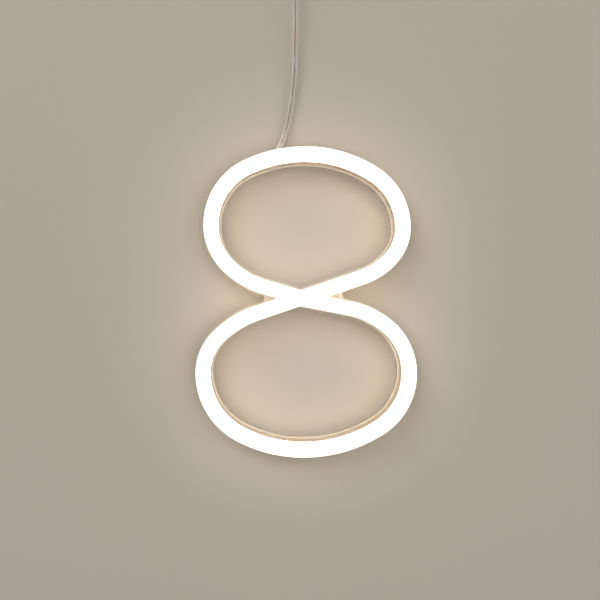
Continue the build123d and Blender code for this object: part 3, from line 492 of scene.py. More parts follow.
@dataclass(frozen=True)
class CutAcrylic(Finish):
    """Clear cast sheet: a painted glow on its front face for leaked light, and cut edges with painted shade
    between painted highlights at their corners.
    """

    # The next two colours are painted shade in the middle of each cut edge and painted highlights at its two
    # corners.
    edge_painted_shade: Colour = (0.24, 0.175, 0.11)
    edge_painted_highlight: Colour = (0.98, 0.88, 0.7)
    # The two glows are painted light: emission on a sheet that is no lamp, standing in for light from the
    # flex.
    painted_edge_glow: Colour = (0.02, 0.012, 0.006)
    painted_face_glow: Colour = (0.28, 0.255, 0.205)
    back_depth: float = 0.8
    front_depth: float = 3.8
    corner: float = 0.45
    edge_cover: float = 0.86
    back_cover: float = 0.04
    front_cover: float = 0.42
    index: float = 1.49
    face_facing: float = 0.7
    edge_facing: float = 0.3
    edge_roughness: float = 0.3
    cut: Grain = Grain(0.5, 2.0, (1.0, 0.12, 1.0))
    cut_relief: Relief = Relief(0.03, 0.5)
    cut_unevenness: float = 0.15
    cut_shading: float = 0.25
    facing_blend: float = 0.5

    def _reflection(self, nodes: Nodes) -> Wire:
        """How much light a face throws back, alike where light enters the sheet and where it leaves.

        Args:
            nodes: The material's nodes.

        Returns:
            The share, which rises as the face turns away from the eye.
        """
        straight = ((self.index - 1) / (self.index + 1)) ** 2
        turned = nodes.turned_away(self.facing_blend)
        squared = turned * turned
        return straight + (1 - straight) * (squared * squared * turned)

    def surface(self, nodes: Nodes) -> Wire:
        """Adds the nodes: edges are told from faces by the way they look.

        Args:
            nodes: The material's nodes.

        Returns:
            The shader.
        """
        depth = nodes.depth()
        middle = (self.back_depth + self.front_depth) / 2
        half = (self.front_depth - self.back_depth) / 2
        # A mask for the painted highlights at the cut edges' corners, with painted shade between them.
        corners = nodes.ramp(abs(depth - middle), half - self.corner, half - self.corner / 3)
        edge = nodes.ramp(nodes.facing_wall(), self.face_facing, self.edge_facing)
        cut = nodes.noise(self.cut)
        # The cut edges' painted shade and highlights, varied by the cut marks.
        painted_edge_colour = nodes.blend(corners + cut.swing(self.cut_shading), self.edge_painted_shade, self.edge_painted_highlight)
        front = nodes.ramp(depth, self.back_depth, self.front_depth)
        # A painted glow on the front face, rising towards the front.
        painted_leak = nodes.blend(front, BLACK, self.painted_face_glow)
        uneven = self.edge_roughness * edge + cut.swing(self.cut_unevenness) * edge
        shader = nodes.principled(
            {
                "Base Color": nodes.blend(edge, self.colour, painted_edge_colour),
                "Roughness": self.roughness + uneven,
                "IOR": self.index,
                # The emission is painted light on the edges and the front face.
                "Emission Color": nodes.blend(edge, painted_leak, self.painted_edge_glow),
                "Emission Strength": 1.0,
                "Normal": nodes.raised(cut * edge, self.cut_relief),
            }
        )
        face = self.back_cover + (self.front_cover - self.back_cover) * front
        shown = nodes.larger(face + self._reflection(nodes), self.edge_cover * edge)
        return nodes.see_through(shown, shader)


@dataclass(frozen=True)
class ClearMoulding(Finish):
    """Clear moulded plastic or gel: a thin cover, denser where it turns away, with faint haze.

    haze is the size of the haze's clouds, in millimetres, and flow_finer is how many times finer the flow
    marks are.
    """

    cover: float = 0.3
    rim_cover: float = 0.55
    haze: float = 3.0
    index: float = 1.5
    rim_blend: float = 0.35
    haze_detail: float = 3.0
    haze_shade: float = 0.9
    haze_cover: float = 0.1
    flow_finer: float = 6.0
    flow_relief: Relief = Relief(0.01, 0.3)
    flow_roughness: float = 0.08

    def surface(self, nodes: Nodes) -> Wire:
        """Adds the nodes: the rim is where the surface turns away from the eye.

        Args:
            nodes: The material's nodes.

        Returns:
            The shader.
        """
        rim = nodes.turned_away(self.rim_blend)
        haze = nodes.noise(Grain(self.haze, self.haze_detail))
        flow = nodes.noise(Grain(self.haze / self.flow_finer))
        shader = nodes.principled(
            {
                "Base Color": nodes.blend(haze, shaded(self.colour, self.haze_shade), self.colour),
                "Roughness": self.roughness + self.flow_roughness * flow,
                "IOR": self.index,
                "Normal": nodes.raised(flow, self.flow_relief),
            }
        )
        return nodes.see_through(self.cover + self.rim_cover * rim + haze.swing(self.haze_cover), shader)


@dataclass(frozen=True)
class MouldedPlastic(Finish):
    """Opaque moulded plastic or rubber with a fine spark-eroded grain and slight mottling."""

    grain: float = 0.22
    grain_depth: float = 0.02
    mottle: float = 0.05
    coat: float = 0.0
    grain_strength: float = 0.6
    clouds: Grain = Grain(4.0, 3.0)
    rubbed: Grain = Grain(1.3, 4.0)
    unevenness: float = 0.14

    def surface(self, nodes: Nodes) -> Wire:
        """Adds the nodes: cells make the grain, and two noises vary colour and gloss.

        Args:
            nodes: The material's nodes.

        Returns:
            The shader.
        """
        duller = shaded(self.colour, 1 - 2 * self.mottle)
        relief = Relief(self.grain_depth, self.grain_strength)
        return nodes.principled(
            {
                "Base Color": nodes.blend(nodes.noise(self.clouds), duller, self.colour),
                "Roughness": self.roughness + nodes.noise(self.rubbed).swing(self.unevenness),
                "Coat Weight": self.coat,
                "Normal": nodes.raised(nodes.cells(self.grain), relief),
            }
        )


@dataclass(frozen=True)
class Metal(Finish):
    """Bare or plated metal with fine drawn scratches along one axis and cloudy tarnish."""

    scratch: Place = (1.0, 1.0, 0.08)
    scratch_size: float = 0.12
    tarnish: float = 0.18
    scratch_detail: float = 3.0
    scratch_relief: Relief = Relief(0.01, 0.4)
    scratch_roughness: float = 0.18
    clouds: Grain = Grain(1.8, 3.0)
    cloud_roughness: float = 0.1

    def surface(self, nodes: Nodes) -> Wire:
        """Adds the nodes: stretched noise scratches it, and clouds dull it.

        Args:
            nodes: The material's nodes.

        Returns:
            The shader.
        """
        scratches = nodes.noise(Grain(self.scratch_size, self.scratch_detail, self.scratch))
        clouds = nodes.noise(self.clouds)
        dull = shaded(self.colour, 1 - self.tarnish)
        rough = self.roughness + scratches.swing(self.scratch_roughness) + self.cloud_roughness * clouds
        return nodes.principled(
            {
                "Base Color": nodes.blend(clouds, dull, self.colour),
                "Metallic": 1.0,
                "Roughness": rough,
                "Normal": nodes.raised(scratches, self.scratch_relief),
            }
        )


@dataclass(frozen=True)
class PhosphorGel(Finish):
    """Yellow phosphor gel, grainy and lit."""

    glow: Colour = (1.0, 0.84, 0.58)
    strength: float = 3.0
    grain: float = 0.08
    grain_shade: float = 0.7
    grain_dimming: float = 0.8
    grain_roughness: float = 0.1

    def surface(self, nodes: Nodes) -> Wire:
        """Adds the nodes: grains vary both the gel's colour and its light.

        Args:
            nodes: The material's nodes.

        Returns:
            The shader.
        """
        grains = nodes.cells(self.grain)
        return nodes.principled(
            {
                "Base Color": nodes.blend(grains, self.colour, shaded(self.colour, self.grain_shade)),
                "Roughness": self.roughness + self.grain_roughness * grains,
                "Emission Color": nodes.blend(grains, self.glow, shaded(self.glow, self.grain_dimming)),
                "Emission Strength": self.strength,
            }
        )


@dataclass(frozen=True)
class PrintedBoard(Finish):
    """White solder mask on a flexible board, with the faint relief of the tracks under it."""

    track: Grain = Grain(1.1, 0.0)
    gap_end: float = 0.44
    track_start: float = 0.52
    gap_shade: float = 0.94
    dust: Grain = Grain(0.3)
    dust_height: float = 0.1
    relief: Relief = Relief(0.03, 0.5)
    unevenness: float = 0.12

    def surface(self, nodes: Nodes) -> Wire:
        """Adds the nodes: soft bands stand for the covered tracks.

        Args:
            nodes: The material's nodes.

        Returns:
            The shader.
        """
        tracks = nodes.ramp(nodes.noise(self.track), self.gap_end, self.track_start)
        dust = nodes.noise(self.dust)
        return nodes.principled(
            {
                "Base Color": nodes.blend(tracks, shaded(self.colour, self.gap_shade), self.colour),
                "Roughness": self.roughness + dust.swing(self.unevenness),
                "Normal": nodes.raised(tracks + self.dust_height * dust, self.relief),
            }
        )


@dataclass(frozen=True)
class LoopFabric(Finish):
    """Woven nylon strap with a fuzzy loop face."""

    thread: float = 0.42
    tuft: float = 0.3
    sheen: float = 0.35
    thread_bends: Pair = (0.6, 0.8)
    # The next three settings make painted shade in the hollows of the weave and loops.
    painted_shade_weight: float = 0.6
    painted_shade_range: Pair = (0.15, 0.85)
    painted_hollow_shade: float = 0.68
    relief: Relief = Relief(0.12, 0.8)

    def surface(self, nodes: Nodes) -> Wire:
        """Adds the nodes: crossed threads under scattered loops, with painted shade in their hollows.

        Args:
            nodes: The material's nodes.

        Returns:
            The shader.
        """
        across = nodes.waves(self.thread, Ridges.ACROSS, self.thread_bends[0])
        along = nodes.waves(self.thread, Ridges.SLANTED, self.thread_bends[1])
        weave = 0.5 * across + 0.5 * along
        loops = nodes.cells(self.tuft)
        # Painted shade: the colour darkens where the weave and loops are low.
        painted_shade_mask = nodes.ramp(self.painted_shade_weight * weave + self.painted_shade_weight * loops, *self.painted_shade_range)
        return nodes.principled(
            {
                "Base Color": nodes.blend(painted_shade_mask, shaded(self.colour, self.painted_hollow_shade), self.colour),
                "Roughness": self.roughness,
                "Sheen Weight": self.sheen,
                "Normal": nodes.raised(0.5 * weave + 0.5 * loops, self.relief),
            }
        )


def linked(name: str, data: bpy.types.ID) -> bpy.types.Object:
    """Adds an object to the scene.

    Args:
        name: The object's name.
        data: Its mesh, curve, light or camera.

    Returns:
        The object.
    """
    made = bpy.data.objects.new(name, data)
    bpy.context.scene.collection.objects.link(made)
    log.info("added %s", name)
    return made


@dataclass(frozen=True)
class Viewpoint:
    """The camera: where it stands in millimetres, which way it looks, and how wide it sees."""

    place: Place = (-21.1, -397.0, 8.0)
    turned_right: float = 3.005
    tilted_down: float = 1.373
    field_of_view: float = 48.58
    sensor_width: float = 36.0
    nearest: float = 10.0
    farthest: float = 20000.0

    def build(self) -> None:
        """Makes the camera and makes it the scene's own."""
        lens = bpy.data.cameras.new("camera")
        lens.sensor_width = self.sensor_width
        lens.angle = math.radians(self.field_of_view)
        lens.clip_start = self.nearest * MM
        lens.clip_end = self.farthest * MM
        camera = linked("camera", lens)
        camera.location = Vector(self.place) * MM
        camera.rotation_euler = Euler(
            (math.radians(90 - self.tilted_down), 0.0, math.radians(-self.turned_right))
        )
        bpy.context.scene.camera = camera


@dataclass(frozen=True)
class Lamp:
    """A soft square lamp, in metres and watts, aimed at the sign."""

    name: str
    place: Place
    size: float
    power: float
    colour: Colour = (1.0, 0.985, 0.96)

    def build(self) -> None:
        """Makes the lamp, which the camera doesn't see."""
        light = bpy.data.lights.new(self.name, "AREA")
        light.shape = "SQUARE"
        light.size = self.size
        light.energy = self.power
        light.color = self.colour
        lamp = linked(self.name, light)
        lamp.location = self.place
        lamp.rotation_euler = (-Vector(self.place)).to_track_quat("-Z", "Y").to_euler()
        lamp.visible_camera = False


@dataclass(frozen=True)
class Studio:
    """The pale wall, floor and surroundings, and the lamps, in metres."""

    wall_colour: Colour = (0.46, 0.415, 0.36)
    floor_colour: Colour = (0.6, 0.575, 0.54)
    paint_roughness: float = 0.9
    paint_gloss: float = 0.1
    sky_colour: Colour = (0.86, 0.845, 0.82)
    sky_tint: Colour = (1.0, 0.99, 0.97)
    sky_light: float = 0.5
    wall_behind: float = 0.0005
    wall_width: float = 3.2
    wall_height: float = 2.2
    floor_below: float = 0.25
    lamps: tuple[Lamp, ...] = (
        Lamp("key_lamp", (-1.1, -1.5, 1.3), 1.2, 22.0),
        Lamp("fill_lamp", (1.5, -1.4, 0.2), 1.4, 9.0),
        Lamp("back_lamp", (0.4, 1.6, 1.1), 1.2, 10.0),
    )

    def build(self) -> None:
        """Builds the surroundings, the two planes and the lamps."""
        self._surround()
        half = self.wall_width / 2
        low, high = -self.floor_below, self.wall_height
        wall = [(-half, self.wall_behind, low), (half, self.wall_behind, low)]
        wall += [(half, self.wall_behind, high), (-half, self.wall_behind, high)]
        floor = [(-half, -half, low), (half, -half, low), (half, half, low), (-half, half, low)]
        self._plane("wall", wall, self.wall_colour)
        self._plane("floor", floor, self.floor_colour)
        for lamp in self.lamps:
            lamp.build()

    @staticmethod
    def _seen(nodes: Nodes) -> Wire:
        """1 for what is seen straight, in a reflection or through glass, and 0 for what only lights."""
        straight, reflected, through = (nodes.add("ShaderNodeLightPath", output=ray.value) for ray in SeenRay)
        return nodes.larger(nodes.larger(straight, reflected), through)

    def _surround(self) -> None:
        """Makes the world: an even light, and a pale colour where it is seen."""
        world = bpy.data.worlds.new("surroundings")
        nodes = Nodes(world)
        background = "ShaderNodeBackground"
        light = nodes.add(background, None, {"Color": self.sky_tint, "Strength": self.sky_light})
        seen = nodes.add(background, None, {"Color": self.sky_colour, "Strength": 1.0})
        sky = nodes.add("ShaderNodeMixShader", None, {0: self._seen(nodes), 1: light, 2: seen})
        nodes.finish(sky, "ShaderNodeOutputWorld")
        bpy.context.scene.world = world

    def _plane(self, name: str, corners: Sequence[Place], colour: Colour) -> None:
        """Makes a plane that shows from its front alone.

        Args:
            name: The plane's name.
            corners: Its corners, in metres, in turn to the left when seen from its front.
            colour: Its colour.
        """
        mesh = bpy.data.meshes.new(name)
        mesh.from_pydata(corners, [], [tuple(range(len(corners)))])
        material = bpy.data.materials.new(name)
        nodes = Nodes(material)
        front = 1.0 - nodes.add("ShaderNodeNewGeometry", output="Backfacing")
        paint = nodes.principled(
            {
                "Base Color": colour,
                "Roughness": self.paint_roughness,
                "Specular IOR Level": self.paint_gloss,
            }
        )
        nodes.finish(nodes.see_through(self._seen(nodes) * front, paint))
        mesh.materials.append(material)
        linked(name, mesh)


@dataclass(frozen=True)
class Parts:
    """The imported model's pieces, by name."""

    nodes: Mapping[str, bpy.types.Object]

    def dress(self, finish: Finish, *names: str) -> None:
        """Puts a finish on pieces."""
        finish.dress(*(self.nodes[name] for name in names))


def line_of(curve: bpy.types.Curve) -> list[Vector]:
    """Finds the line down the middle of a curve.

    Args:
        curve: The curve, which is left as it is.

    Returns:
        The line's points, in metres.
    """
    bare = bpy.data.objects.new("bare_line", curve.copy())
    bare.data.bevel_depth = 0.0
    mesh = bpy.data.meshes.new_from_object(bare)
    points = [vertex.co.copy() for vertex in mesh.vertices]
    bpy.data.meshes.remove(mesh)
    bpy.data.curves.remove(bare.data)
    return points


def distances(points: Sequence[Vector]) -> list[float]:
    """Measures along a line.

    Args:
        points: The line's points.

    Returns:
        How far along the line each point lies.
    """
    along = [0.0]
    for a, b in zip(points, points[1:]):
        along.append(along[-1] + (b - a).length)
    return along


def frames_along(points: Sequence[Vector], aside: Vector) -> list[tuple[Vector, Vector]]:
    """Finds two directions square to a line at each point, which turn no more than the line does.

    Args:
        points: The line's points.
        aside: About where the first direction points at the start.

    Returns:
        A pair of unit vectors for each point.
    """
    frames = []
    side = aside
    for k in range(len(points)):
        ahead = (points[min(k + 1, len(points) - 1)] - points[max(k - 1, 0)]).normalized()
        side = (side - ahead * side.dot(ahead)).normalized()
        frames.append((side, ahead.cross(side)))
    return frames


def tube_mesh(name: str, centres: Sequence[Vector], rings: Sequence[Sequence[Vector]]) -> bpy.types.Mesh:
    """Makes a closed tube.

    Args:
        name: The mesh's name.
        centres: The points down its middle.
        rings: The ring of points round each centre, all with equally many points.

    Returns:
        The mesh, smooth along its sides.
    """
    mesh = bmesh.new()
    layers = [[mesh.verts.new(point) for point in ring] for ring in rings]
    count = len(layers[0])
    for a, b in zip(layers, layers[1:]):
        for k in range(count):
            face = mesh.faces.new((a[k], a[(k + 1) % count], b[(k + 1) % count], b[k]))
            face.smooth = True
    for centre, layer, first in ((centres[0], layers[0], True), (centres[-1], layers[-1], False)):
        middle = mesh.verts.new(centre)
        for k in range(count):
            pair = (layer[k], layer[(k + 1) % count])
            mesh.faces.new((middle, *(pair[::-1] if first else pair)))
    data = bpy.data.meshes.new(name)
    mesh.to_mesh(data)
    mesh.free()
    return data


def turned(forward: float, up: float, angle: float) -> Pair:
    """A place or direction in depth and height, turned about the middle."""
    cos, sin = math.cos(angle), math.sin(angle)
    return forward * cos - up * sin, forward * sin + up * cos


@dataclass(frozen=True)
class CoilTie:
    """The hook-and-loop strap round the coil's lowest place, which laps over itself.

    It follows a rounded square. Towards its end it rises onto its own start over lap_rise, and the free end
    lifts over lift_length.
    """

    centre: Place = (12.1, -7.5, 252.5)
    width: float = 6.0
    thickness: float = 0.42
    inside_half: float = 5.42
    corner: float = 1.9
    lap: float = 13.0
    lap_gap: float = 0.06
    lap_rise: float = 3.0
    lift_length: float = 4.0
    end_lift: float = 0.7
    step: float = 0.4
    across: tuple[float, ...] = (-1.0, -0.96, -0.6, -0.2, 0.2, 0.6, 0.96, 1.0)
    edge_rounding: float = 0.25
    wrinkle: float = 0.05
    seed: int = 3
    fabric: LoopFabric = LoopFabric("loop_fabric", (0.8, 0.8, 0.78), 0.85)

    def _side(self, gone: float) -> tuple[Pair, Pair]:
        """Finds a place on the rounded square.

        Args:
            gone: How far round, from the middle of the front side downwards.

        Returns:
            The place and its outward direction, each forward and up.
        """
        half = self.inside_half
        flat = 2 * (half - self.corner)
        bend = math.pi / 2 * self.corner
        gone = (gone + flat / 2) % (4 * (flat + bend))
        number, rest = divmod(gone, flat + bend)
        if rest < flat:
            forward, up, angle = half, flat / 2 - rest, 0.0
        else:
            angle = (rest - flat) / self.corner
            forward = half - self.corner + self.corner * math.cos(angle)
            up = -(half - self.corner) - self.corner * math.sin(angle)
        turn = -math.pi / 2 * number
        return turned(forward, up, turn), turned(math.cos(angle), -math.sin(angle), turn)

    def _point(self, x: float, forward: float, up: float) -> Vector:
        """A place measured from the strap's middle."""
        return Vector((self.centre[0] + x, self.centre[1] - forward, self.centre[2] + up)) * MM

    def _section(self, gone: float, base: float) -> tuple[Vector, list[Vector]]:
        """Cuts the strap across.

        Args:
            gone: How far round the cut is.
            base: How far the strap's inner face stands off the rounded square there.

        Returns:
            The section's middle, and the ring of points round it.
        """
        (forward, up), out = self._side(gone)
        ring = []
        for outer, shares in ((False, self.across), (True, self.across[::-1])):
            for share in shares:
                edge = self.edge_rounding if abs(share) == 1.0 else 0.0
                high = base + self.thickness * (1 - edge if outer else edge)
                ring.append(self._point(share * self.width / 2, forward + out[0] * high, up + out[1] * high))
        high = base + self.thickness / 2
        return self._point(0.0, forward + out[0] * high, up + out[1] * high), ring

    def build(self) -> bpy.types.Object:
        """Makes the strap.

        Returns:
            The strap.
        """
        around = 8 * (self.inside_half - self.corner) + math.tau * self.corner
        total = around + self.lap
        count = round(total / self.step)
        draw = random.Random(self.seed)
        centres, rings = [], []
        for k in range(count + 1):
            gone = total * k / count
            lapped = max(0.0, min(1.0, (gone - around + self.lap_rise) / self.lap_rise))
            lifted = max(0.0, (gone - total + self.lift_length) / self.lift_length) ** 2
            raised = lapped * (self.thickness + self.lap_gap) + lifted * self.end_lift
            centre, ring = self._section(gone, raised + draw.uniform(0, self.wrinkle))
            centres.append(centre)
            rings.append(ring)
        tie = linked("coil_tie_strap", tube_mesh("coil_tie_strap", centres, rings))
        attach(tie, SIGN_BODY)
        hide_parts("coil_tie")
        self.fabric.dress(tie)
        return tie


@dataclass(frozen=True)
class Core:
    """One stranded core of the cord: its size and how it lies in the jacket."""

    diameter: float = 0.75
    aside: float = 0.43
    strands: int = 7
    strand_depth: float = 0.16
    strand_lay: float = 8.0

    def build(
        self,
        name: str,
        points: Sequence[Vector],
        start: Vector,
        turns: float,
        phase: float,
    ) -> bpy.types.Object:
        """Makes the core's mesh along a cord.

        Args:
            name: The piece's name.
            points: The cord's own line, in metres.
            start: The direction from the cord's middle to the core at phase 0, where the cord begins.
            turns: How often the two cores turn round each other over the whole length.
            phase: This core's share of a turn.

        Returns:
            The piece.
        """
        along = distances(points)
        centres, rings = [], []
        for place, gone, (side, up) in zip(points, along, frames_along(points, start)):
            angle = math.tau * (phase + turns * gone / along[-1])
            centre = place + (side * math.cos(angle) + up * math.sin(angle)) * self.aside * MM
            twist = math.tau * gone / (self.strand_lay * MM)
            ring = []
            for k in range(2 * self.strands):
                radius = self.diameter / 2 * (1 - self.strand_depth * (k % 2)) * MM
                at = twist + math.pi * k / self.strands
                ring.append(centre + (side * math.cos(at) + up * math.sin(at)) * radius)
            centres.append(centre)
            rings.append(ring)
        return linked(name, tube_mesh(name, centres, rings))


@dataclass(frozen=True)
class Coil:
    """The spare cord wound in a coil: turns in a square of slots, filled from the front to the back."""

    centre: Pair = (12.1, 268.0)
    depth: float = 7.5
    diameter: float = 31.0
    pitch: float = 2.65
    across: int = 4
    turns: float = 13.5
    points_a_turn: int = 16
    change: float = 0.2
    sway: Pair = (0.35, 0.25)
    looseness: float = 0.03
    seed: int = 8

    def _slot(self, number: int) -> Pair:
        """Finds a slot.

        Args:
            number: The slot's number, in the order in which the turns fill them.

        Returns:
            How far it lies outside the coil's middle line, and in front of it.
        """
        row, column = divmod(number, self.across)
        if row % 2:
            column = self.across - 1 - column
        half = (self.across - 1) / 2
        return (half - column) * self.pitch, (half - row) * self.pitch

    def _offset(self, travelled: float) -> Pair:
        """Finds the cord among the slots, between which it changes gently.

        Args:
            travelled: How many turns lie behind it.

        Returns:
            How far it lies outside the coil's middle line, and in front of it.
        """
        slots = self.across**2
        stay = self.turns / slots
        number = min(slots - 1, int(travelled / stay + 0.5 * self.change / stay))
        share = (travelled - number * stay) / self.change + 0.5
        here = self._slot(number)
        if number == 0 or share >= 1:
            return here
        before = self._slot(number - 1)
        share = max(0.0, share)
        eased = share * share * (3 - 2 * share)
        return before[0] + (here[0] - before[0]) * eased, before[1] + (here[1] - before[1]) * eased

    def points(self) -> list[Place]:
        """Places the turns' control points.

        Returns:
            The points, which start at the left going up and end at the right going down.
        """
        draw = random.Random(self.seed)
        step = math.tau / self.points_a_turn
        inward = math.cos(step / 2)
        made = []
        for k in range(round(self.turns * self.points_a_turn) + 1):
            angle = math.pi - k * step
            outside, front = self._offset(k / self.points_a_turn)
            sway = self.sway[0] * math.sin(2 * angle) + self.sway[1] * math.cos(3 * angle)
            slack = [draw.uniform(-self.looseness, self.looseness) for _ in range(2)]
            radius = (self.diameter / 2 + outside + sway + slack[0]) / inward
            x = self.centre[0] + radius * math.cos(angle)
            z = self.centre[1] + radius * math.sin(angle)
            made.append((x, -(self.depth + front + slack[1]), z))
        return made


@dataclass(frozen=True)
class CordRun:
    """One length of the cord: its route and what it ends in."""

    name: str
    points: tuple[Place, ...]
    exit: Place
    length: float
    far_end: FarEnd
    lay: Lay
    cores_start: Place
    resolution: int
    replaced: tuple[str, ...]
    carries: tuple[str, ...]


@dataclass(frozen=True)
class Cord:
    """The clear low-voltage cord with its copper and tinned cores, in two runs with the switch between."""

    diameter: float = 2.6
    core: Core = Core()
    core_lay: float = 46.0
    coil: Coil = Coil()
    switch_nodes: tuple[str, ...] = (
        "switch_back_shell",
        "switch_front_shell",
        "switch_rocker",
        "rocker_pin",
        "rocker_contact",
        "fixed_contacts",
        "switch_screws",
        "switch_wires",
        "switch_boot_lower",
        "switch_boot_upper",
    )
    plug_nodes: tuple[str, ...] = ("plug_boot", "plug_body", "plug_barrel", "plug_insulator", "plug_socket")
    lower_route: tuple[Place, ...] = (
        (-14.62, -2.3, 83.41),
        (-8.9, -2.3, 96.0),
        (-5.6, -3.0, 113.0),
        (-3.6, -3.9, 131.0),
        (-3.3, -5.2, 152.0),
        (-3.4, -6.6, 170.5),
        (-3.4, -7.5, 184.0),
        (-3.4, -7.5, 194.5),
    )
    into_coil: tuple[Place, ...] = (
        (-3.4, -7.5, 225.5),
        (-3.4, -7.5, 232.0),
        (-3.5, -7.6, 239.0),
        (-4.7, -8.7, 247.0),
        (-6.6, -10.6, 255.5),
        (-7.4, -11.4, 262.5),
    )
    out_of_coil: tuple[Place, ...] = (
        (31.6, -3.6, 262.5),
        (30.8, -4.5, 255.5),
        (28.6, -6.6, 249.8),
        (27.6, -7.5, 246.6),
        (27.6, -7.5, 244.0),
    )
    jacket: ClearMoulding = ClearMoulding(
        "cord_pvc", (0.93, 0.9, 0.85), 0.14, cover=0.12, rim_cover=0.8, haze=2.0
    )
    # The cores' colours are painted shade: far darker copies of copper and tin, for the cores seen dark
    # inside the clear jacket.
    copper: Metal = Metal("copper_core", (0.3, 0.16, 0.1), 0.42)
    tinned: Metal = Metal("tinned_core", (0.26, 0.25, 0.235), 0.42)

    def _runs(self, tie: bpy.types.Object) -> tuple[CordRun, CordRun]:
        """Describes the cord.

        Args:
            tie: The strap round the coil.

        Returns:
            The run up to the switch, and the run from it through the coil to the plug.
        """
        lower = CordRun(
            name="cord_to_switch",
            points=self.lower_route,
            exit=(-11.1, -2.3, 91.15),
            length=0.114,
            far_end=FarEnd.FITTING,
            lay=Lay.HANGING,
            cores_start=(0.91, 0.0, -0.41),
            resolution=16,
            replaced=("cord_lower",),
            carries=self.switch_nodes,
        )
        upper = CordRun(
            name="cord_to_plug",
            points=(*self.into_coil, *self.coil.points(), *self.out_of_coil),
            exit=(-3.4, -7.5, 236.0),
            length=1.38,
            far_end=FarEnd.PLUG,
            lay=Lay.COILED,
            cores_start=(1.0, 0.0, 0.0),
            resolution=5,
            replaced=("cord_upper", "cord_coil", "cord_tail"),
            carries=(*self.plug_nodes, tie.name),
        )
        return lower, upper

    def _jacket_piece(self, run: CordRun) -> bpy.types.Object:
        """Makes the clear jacket of one run.

        Args:
            run: The run.

        Returns:
            The jacket, a curve along the run.
        """
        curve = bpy.data.curves.new(run.name, "CURVE")
        curve.dimensions = "3D"
        spline = curve.splines.new("NURBS")
        spline.points.add(len(run.points) - 1)
        for point, place in zip(spline.points, run.points):
            point.co = (*(value * MM for value in place), 1.0)
            point.radius = self.diameter / 2 * MM
        spline.order_u = 3
        spline.use_endpoint_u = True
        curve.resolution_u = run.resolution
        curve.bevel_depth = 1.0
        curve.bevel_resolution = 5
        curve.use_fill_caps = True
        return linked(run.name, curve)

    def _core_piece(
        self,
        run: CordRun,
        line: Sequence[Vector],
        finish: Metal,
        phase: float,
    ) -> bpy.types.Object:
        """Makes one core of one run.

        Args:
            run: The run.
            line: The points down the middle of its jacket.
            finish: The core's finish, whose name is also part of the piece's name.
            phase: The core's share of a turn round the jacket's middle.

        Returns:
            The core.
        """
        turns = distances(line)[-1] / MM / self.core_lay
        piece = self.core.build(f"{run.name}_{finish.name}", line, Vector(run.cores_start), turns, phase)
        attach(piece, SIGN_BODY)
        return piece

    def build(self, tie: bpy.types.Object) -> None:
        """Args:
            tie: The strap round the coil.
        """
        jackets, copper, tinned = [], [], []
        for run in self._runs(tie):
            jacket = self._jacket_piece(run)
            line = line_of(jacket.data)
            jackets.append(jacket)
            copper.append(self._core_piece(run, line, self.copper, 0.0))
            tinned.append(self._core_piece(run, line, self.tinned, 0.5))
            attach(jacket, SIGN_BODY)
            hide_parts(*run.replaced)
            log.info("%s: %.1f mm", run.name, distances(line)[-1] / MM)
        self.jacket.dress(*jackets)
        self.copper.dress(*copper)
        self.tinned.dress(*tinned)


@dataclass(frozen=True)
class Flex:
    """The flex: its milky front, its clear channel and the caps on its two ends."""

    front: LitSilicone = LitSilicone("milky_silicone", MILKY, 0.36)
    cap: LitSilicone = LitSilicone("milky_cap", MILKY, 0.42, root_glow=(0.03, 0.024, 0.019))
    channel: SmokySilicone = SmokySilicone("smoky_silicone", (0.56, 0.435, 0.31), 0.3)

    def build(self, parts: Parts) -> None:
        """Dresses the flex.

        Args:
            parts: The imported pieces.
        """
        parts.dress(self.front, "neon_diffuser")
        parts.dress(self.cap, "end_cap_upper", "end_cap_lower")
        parts.dress(self.channel, "neon_channel")


@dataclass(frozen=True)
class LightStrip:
    """The LED strip inside the flex, and its feed."""

    board: PrintedBoard = PrintedBoard("white_board", (0.84, 0.84, 0.81), 0.45)
    package: MouldedPlastic = MouldedPlastic(
        "led_package", (0.87, 0.87, 0.84), 0.35, grain=0.1, grain_depth=0.01
    )
    gel: PhosphorGel = PhosphorGel("phosphor_gel", (0.9, 0.68, 0.16), 0.4)
    resistor: MouldedPlastic = MouldedPlastic(
        "resistor_body", (0.035, 0.035, 0.037), 0.5, grain=0.12, grain_depth=0.015
    )
    pad: Metal = Metal("copper_pad", (0.86, 0.5, 0.32), 0.32)
    solder: Metal = Metal("bright_solder", (0.72, 0.72, 0.73), 0.2)
    positive: Metal = Metal("copper_wire", (0.82, 0.45, 0.27), 0.3)
    negative: Metal = Metal("tinned_wire", (0.7, 0.7, 0.68), 0.32)

    def build(self, parts: Parts) -> None:
        """Dresses the strip.

        Args:
            parts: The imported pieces.
        """
        parts.dress(self.board, "led_strip")
        parts.dress(self.package, "led_chips")
        parts.dress(self.gel, "led_windows")
        parts.dress(self.resistor, "strip_resistors")
        parts.dress(self.pad, "strip_pads")
        parts.dress(self.solder, "solder_joints")
        parts.dress(self.positive, "lead_wire_positive")
        parts.dress(self.negative, "lead_wire_negative")


